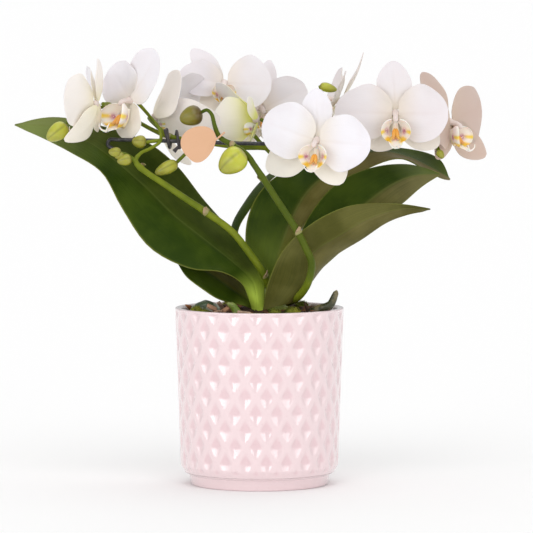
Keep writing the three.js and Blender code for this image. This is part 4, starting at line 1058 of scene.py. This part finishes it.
# Lower sepals turn a brighter warm cream: painted light that lifts the shade the petals cast on them
white = blend(cream, white, (0.98, 0.9, 0.77))
# Beige here is painted shade, strongest on the blooms that turn away from the light
white = blend(beige, white, (0.545, 0.395, 0.33))
white = blend(green, white, (0.8, 0.8, 0.2))
coloured(tree, white, plus(veins, times(cells, 0.25)), 0.3, 0.0004)

lip_skin, tree = finish("lip_skin", Roughness=0.45, Specular_IOR_Level=0.4, Subsurface_Weight=0.15,
                        Subsurface_Scale=0.002)
yellow, orange, purple = carried(tree, "yellow", "orange", "purple")
freckle = speckle(tree, 750.0, 2.0)
cream = blend(freckle, (0.95, 0.9, 0.86), (0.92, 0.86, 0.78))
cream = blend(yellow, cream, (0.95, 0.69, 0.05))
cream = blend(orange, cream, (0.86, 0.27, 0.015))
cream = blend(times(purple, ramp(freckle, 0.28, 0.46)), cream, (0.47, 0.13, 0.24))
coloured(tree, cream, freckle, 0.2, 0.0003)


def facing(part, centre, turn, lift, size=1.0):
    """A part moved from the bloom's own frame, with +Z out of its face and +Y up it, to its place."""
    way = Matrix.Rotation(-math.radians(lift), 3, "X") @ Vector((0.0, -1.0, 0.0))
    way = Matrix.Rotation(math.radians(turn), 3, "Z") @ way
    right = Vector((0.0, 0.0, 1.0)).cross(way).normalized()
    axes = np.array([right, way.cross(right), way])
    return (part[0] * size @ axes + np.array(centre)) * MM, *part[1:]


def petal_width(t):
    return np.sin(math.pi * t ** 0.88).clip(0.0) ** 0.5


def sepal_width(t):
    return np.sin(math.pi * t ** 1.05).clip(0.0) ** 0.6


def tepal(angle, length, width, lean, bend, outline, lift, green, cream, beige, seed):
    """A sepal or a petal, cupped, creased along its middle and ruffled at its edge."""
    turn, tilt = math.radians(angle), math.radians(lean)
    t = (0.02 + 0.972 * (0.5 - 0.5 * np.cos(np.linspace(0.0, math.pi, 34))))[:, None]
    s = np.sin(np.linspace(-0.5, 0.5, 23) * math.pi)[None, :]
    uneven = 1.0 + 0.035 * np.sin(9.0 * t + 1.7 * seed + 2.0 * np.sign(s)) * np.sin(math.pi * t)
    side = 0.5 * width * outline(t) * s * uneven
    reach = 1.5 + (length - 1.5) * t
    out = reach * math.cos(tilt) - 0.3 * abs(bend) * length * t * t
    cup = 0.07 * width * s * s * np.sin(math.pi * t)
    ruffle = 0.028 * width * np.sin(8.0 * t + 2.6 * s + seed) * np.abs(s) ** 2 * np.sin(math.pi * t)
    crease = -0.5 * np.exp(-(s / 0.12) ** 2) * np.sin(math.pi * t.clip(0.0, 0.8) / 0.8)
    rise = lift + reach * math.sin(tilt) + bend * length * t ** 3 + cup + ruffle + crease
    middle = np.stack([
        out * math.cos(turn) - side * math.sin(turn),
        out * math.sin(turn) + side * math.cos(turn),
        rise + 0.0 * side,
    ], axis=-1)
    thick = 0.34 + 0.5 * np.exp(-(s / 0.7) ** 2) * (1.0 - 0.5 * t)
    return blade(middle, thick, along=t, across=s, green=green * np.exp(-3.2 * t), cream=cream,
                 beige=beige, back=(0.0, 1.0))


def knob(knots, steps=8, sides=18, **numbers):
    """A round closed body along knots, as a part; each of its numbers is one, or one at each end."""
    points, radii = (each / MM for each in strand(knots, steps))
    tangent = np.gradient(points, axis=0)
    tangent /= np.linalg.norm(tangent, axis=1, keepdims=True)
    side = np.array((1.0, 0.0, 0.0))
    other = np.cross(tangent, side)
    other /= np.linalg.norm(other, axis=1, keepdims=True)
    angles = np.linspace(0.0, 2.0 * math.pi, sides, endpoint=False)
    rings = (points[:, None] + side * (radii[:, None] * np.cos(angles))[..., None]
             + other[:, None] * (radii[:, None] * np.sin(angles))[..., None])
    along = np.repeat(np.linspace(0.0, 1.0, len(points)), sides)
    values = {key: np.interp(along, (0.0, 1.0), np.broadcast_to(each, 2)) for key, each in numbers.items()}
    return rings.reshape(-1, 3), capped(len(points), sides), values


def step(x, at, width):
    """A soft step from 0 to 1 at a place, or down from 1 where its width is negative."""
    return 1.0 / (1.0 + np.exp((at - x) / width))


COLUMN = ((0, 0, -1.2, 1.6), (0, 0, 0, 2.6), (0, -0.6, 3, 1.7), (0, -1.2, 5.5, 1.6), (0, -2.4, 7.6, 1.7),
          (0, -3.6, 9, 1.3), (0, -4, 9.5, 0.4))
LIP_ROOT = ((0, -4.8, 1.8, 1.5), (0, -10, 2.6, 2), (0, -14.6, 4.8, 2))
# The right-hand one of the two bumps of the callus, and of the two tendrils at the lip's tip
CALLUS = ((0.5, -8.4, 5.2, 0.4), (0.8, -9.6, 6.4, 1.0), (1.0, -11.4, 7.6, 1.15), (1.3, -13.0, 8.8, 0.95),
          (2.1, -13.8, 9.8, 0.35))
TENDRIL = ((0.5, -18.0, 13.6, 0.6), (1.8, -17.9, 15.6, 0.5), (3.3, -16.2, 16.8, 0.4),
           (4.2, -14.2, 16.5, 0.22))

for seed, (bloom, (*place, lip, green, beige, sepals, petals)) in enumerate(BLOOMS.items()):
    parts = []
    for k, each in enumerate(sepals):
        # The lower sepals get the cream of painted bounce light
        parts.append(tepal(*each, sepal_width, -1.0, green, 0.8 if k else 0.0, beige, seed + k))
    for k, each in enumerate(petals):
        parts.append(tepal(*each, petal_width, 1.0, 0.6 * green, 0.0, beige, seed + k + 4.0))
    # The column gets some painted beige shade too
    parts.append(knob(COLUMN, along=(0.0, 0.2), across=0.0, green=0.0, cream=0.0, beige=0.3, back=0.0))
    tepals = piece_of("tepals_" + bloom, facing(gathered(parts), *place), petal_skin)
    settled(tepals, "tepal", "bloom_" + bloom)

    parts = []
    u = np.linspace(0.0, 1.0, 30)[:, None]
    v = np.linspace(0.0, 1.0, 14)[None, :]
    for way in (1.0, -1.0):
        degrees = -82.0 + 152.0 * u
        angle = np.radians(degrees)
        swell = np.sin(math.pi * (0.14 + 0.76 * u)) ** 0.5
        radius = 3.6 + 5.9 * v ** 0.85 * swell - 1.1 * (v - 0.7).clip(0.0) ** 2 / 0.09
        middle = np.stack([
            way * radius * np.cos(angle),
            -8.6 + radius * np.sin(angle),
            2.4 + 1.6 * np.sin(math.pi * u) + 8.6 * v * swell,
        ], axis=-1)
        if way < 0:
            middle, degrees = middle[::-1], degrees[::-1]
        low_band = step(np.abs(degrees + 54.0), 15.0, -2.5)
        high_band = step(np.abs(degrees + 8.0), 8.0, -2.0)
        yellow = (low_band + high_band) * step(v, 0.4, 0.05)
        streak = np.exp(-((degrees + 12.0) / 20.0) ** 2) * np.exp(-((v - 0.25) / 0.2) ** 2)
        parts.append(blade(middle, 0.2 + 0.5 * np.sin(math.pi * v), yellow=yellow,
                           orange=0.3 * low_band * yellow, purple=streak))
    u = np.linspace(0.0, 1.0, 20)[:, None]
    s = np.linspace(-1.0, 1.0, 17)[None, :]
    half = 0.9 + 3.4 * np.sin(math.pi * np.minimum(1.0, 0.25 + 0.8 * u)) ** 1.3
    middle = np.stack([half * s, -13.0 - 5.6 * u ** 0.8 + 0 * s, 4.6 + 10.0 * u + 1.2 * s ** 2], axis=-1)
    parts.append(blade(middle, 0.45 + 0.4 * np.exp(-(s / 0.5) ** 2) * (1 - 0.5 * u), purple=0.0,
                       yellow=0.8 * step(np.abs(s), 0.45, 0.08) * step(u, 0.5, -0.06),
                       orange=0.5 * np.exp(-(s / 0.35) ** 2) * step(u, 0.3, -0.06)))
    parts.append(knob(LIP_ROOT, yellow=(0.0, 0.5), orange=0.0, purple=0.0))
    for way in (1.0, -1.0):
        bump, tendril = ([(way * x, *rest) for x, *rest in knots] for knots in (CALLUS, TENDRIL))
        parts.append(knob(bump, yellow=1.0, orange=(0.75, 0.3), purple=(0.0, 0.45)))
        parts.append(knob(tendril, sides=10, yellow=0.0, orange=0.0, purple=0.0))
    lobes = piece_of("lobes_" + bloom, facing(gathered(parts), *place, lip), lip_skin)
    settled(lobes, "lip", "lip_" + bloom)

# Tag
# A pebble-shaped tag of thick peach card, bare on both sides, that hooks on the stem beside it.
TAG_CENTRE = (-38.4, -47.6, 219.5)
TAG_WIDE, TAG_HIGH, TAG_DEEP, TAG_BEVEL = 11.25, 11.5, 0.4, 0.12
TAG_HOOK = ((-31, -47.6, 218.6, 0.6), (-27.6, -47.7, 221.8, 0.6), (-24.8, -48.2, 224.2, 0.6),
            (-22, -45.4, 226.6, 0.6), (-24.8, -41.9, 224, 0.6))
# Three curves round the card, each four points in shares of half its width and half its height
TAG_CURVES = (
    ((-0.55, -0.72), (-1.1, -0.3), (-1.15, 0.45), (-0.5, 0.8)),
    ((-0.5, 0.8), (0.1, 1.15), (1.05, 1.0), (1.0, 0.25)),
    ((1.0, 0.25), (0.95, -0.4), (0.1, -1.55), (-0.55, -0.72)),
)
card, tree = finish("card", Roughness=0.75, Specular_IOR_Level=0.3)
fibre = speckle(tree, 1300.0, 4.0, Distortion=0.8)
peach = blend(speckle(tree, 90.0, 2.0), (0.73, 0.44, 0.275), (0.68, 0.4, 0.24))
peach = blend(ramp(fibre, 0.55, 0.8, 0.0, 0.4), peach, (0.62, 0.36, 0.22))
coloured(tree, peach, fibre, 0.25, 0.0002)

t = (np.arange(16) / 16)[:, None]
outline = np.vstack([a * (1 - t) ** 3 + 3 * b * t * (1 - t) ** 2 + 3 * c * t * t * (1 - t) + d * t ** 3
                     for a, b, c, d in np.array(TAG_CURVES) * (TAG_WIDE, TAG_HIGH)])
rings = []
for size, depth in ((0.985, -TAG_DEEP), (1.0, TAG_BEVEL - TAG_DEEP), (1.0, TAG_DEEP - TAG_BEVEL),
                    (0.985, TAG_DEEP)):
    x, z = outline.T * size
    rings.append(np.column_stack([x, np.full(len(x), depth), z]) + TAG_CENTRE)
tag = piece_of("tag_card", (np.vstack(rings) * MM, capped(4, len(outline)), {}), card)
tag.data.polygons.foreach_set("use_smooth", [False] * len(tag.data.polygons))
settled(tag, "card", "tag")
stalks("tag_hook", [strand(TAG_HOOK, 8)], card, "card", "tag", 10)
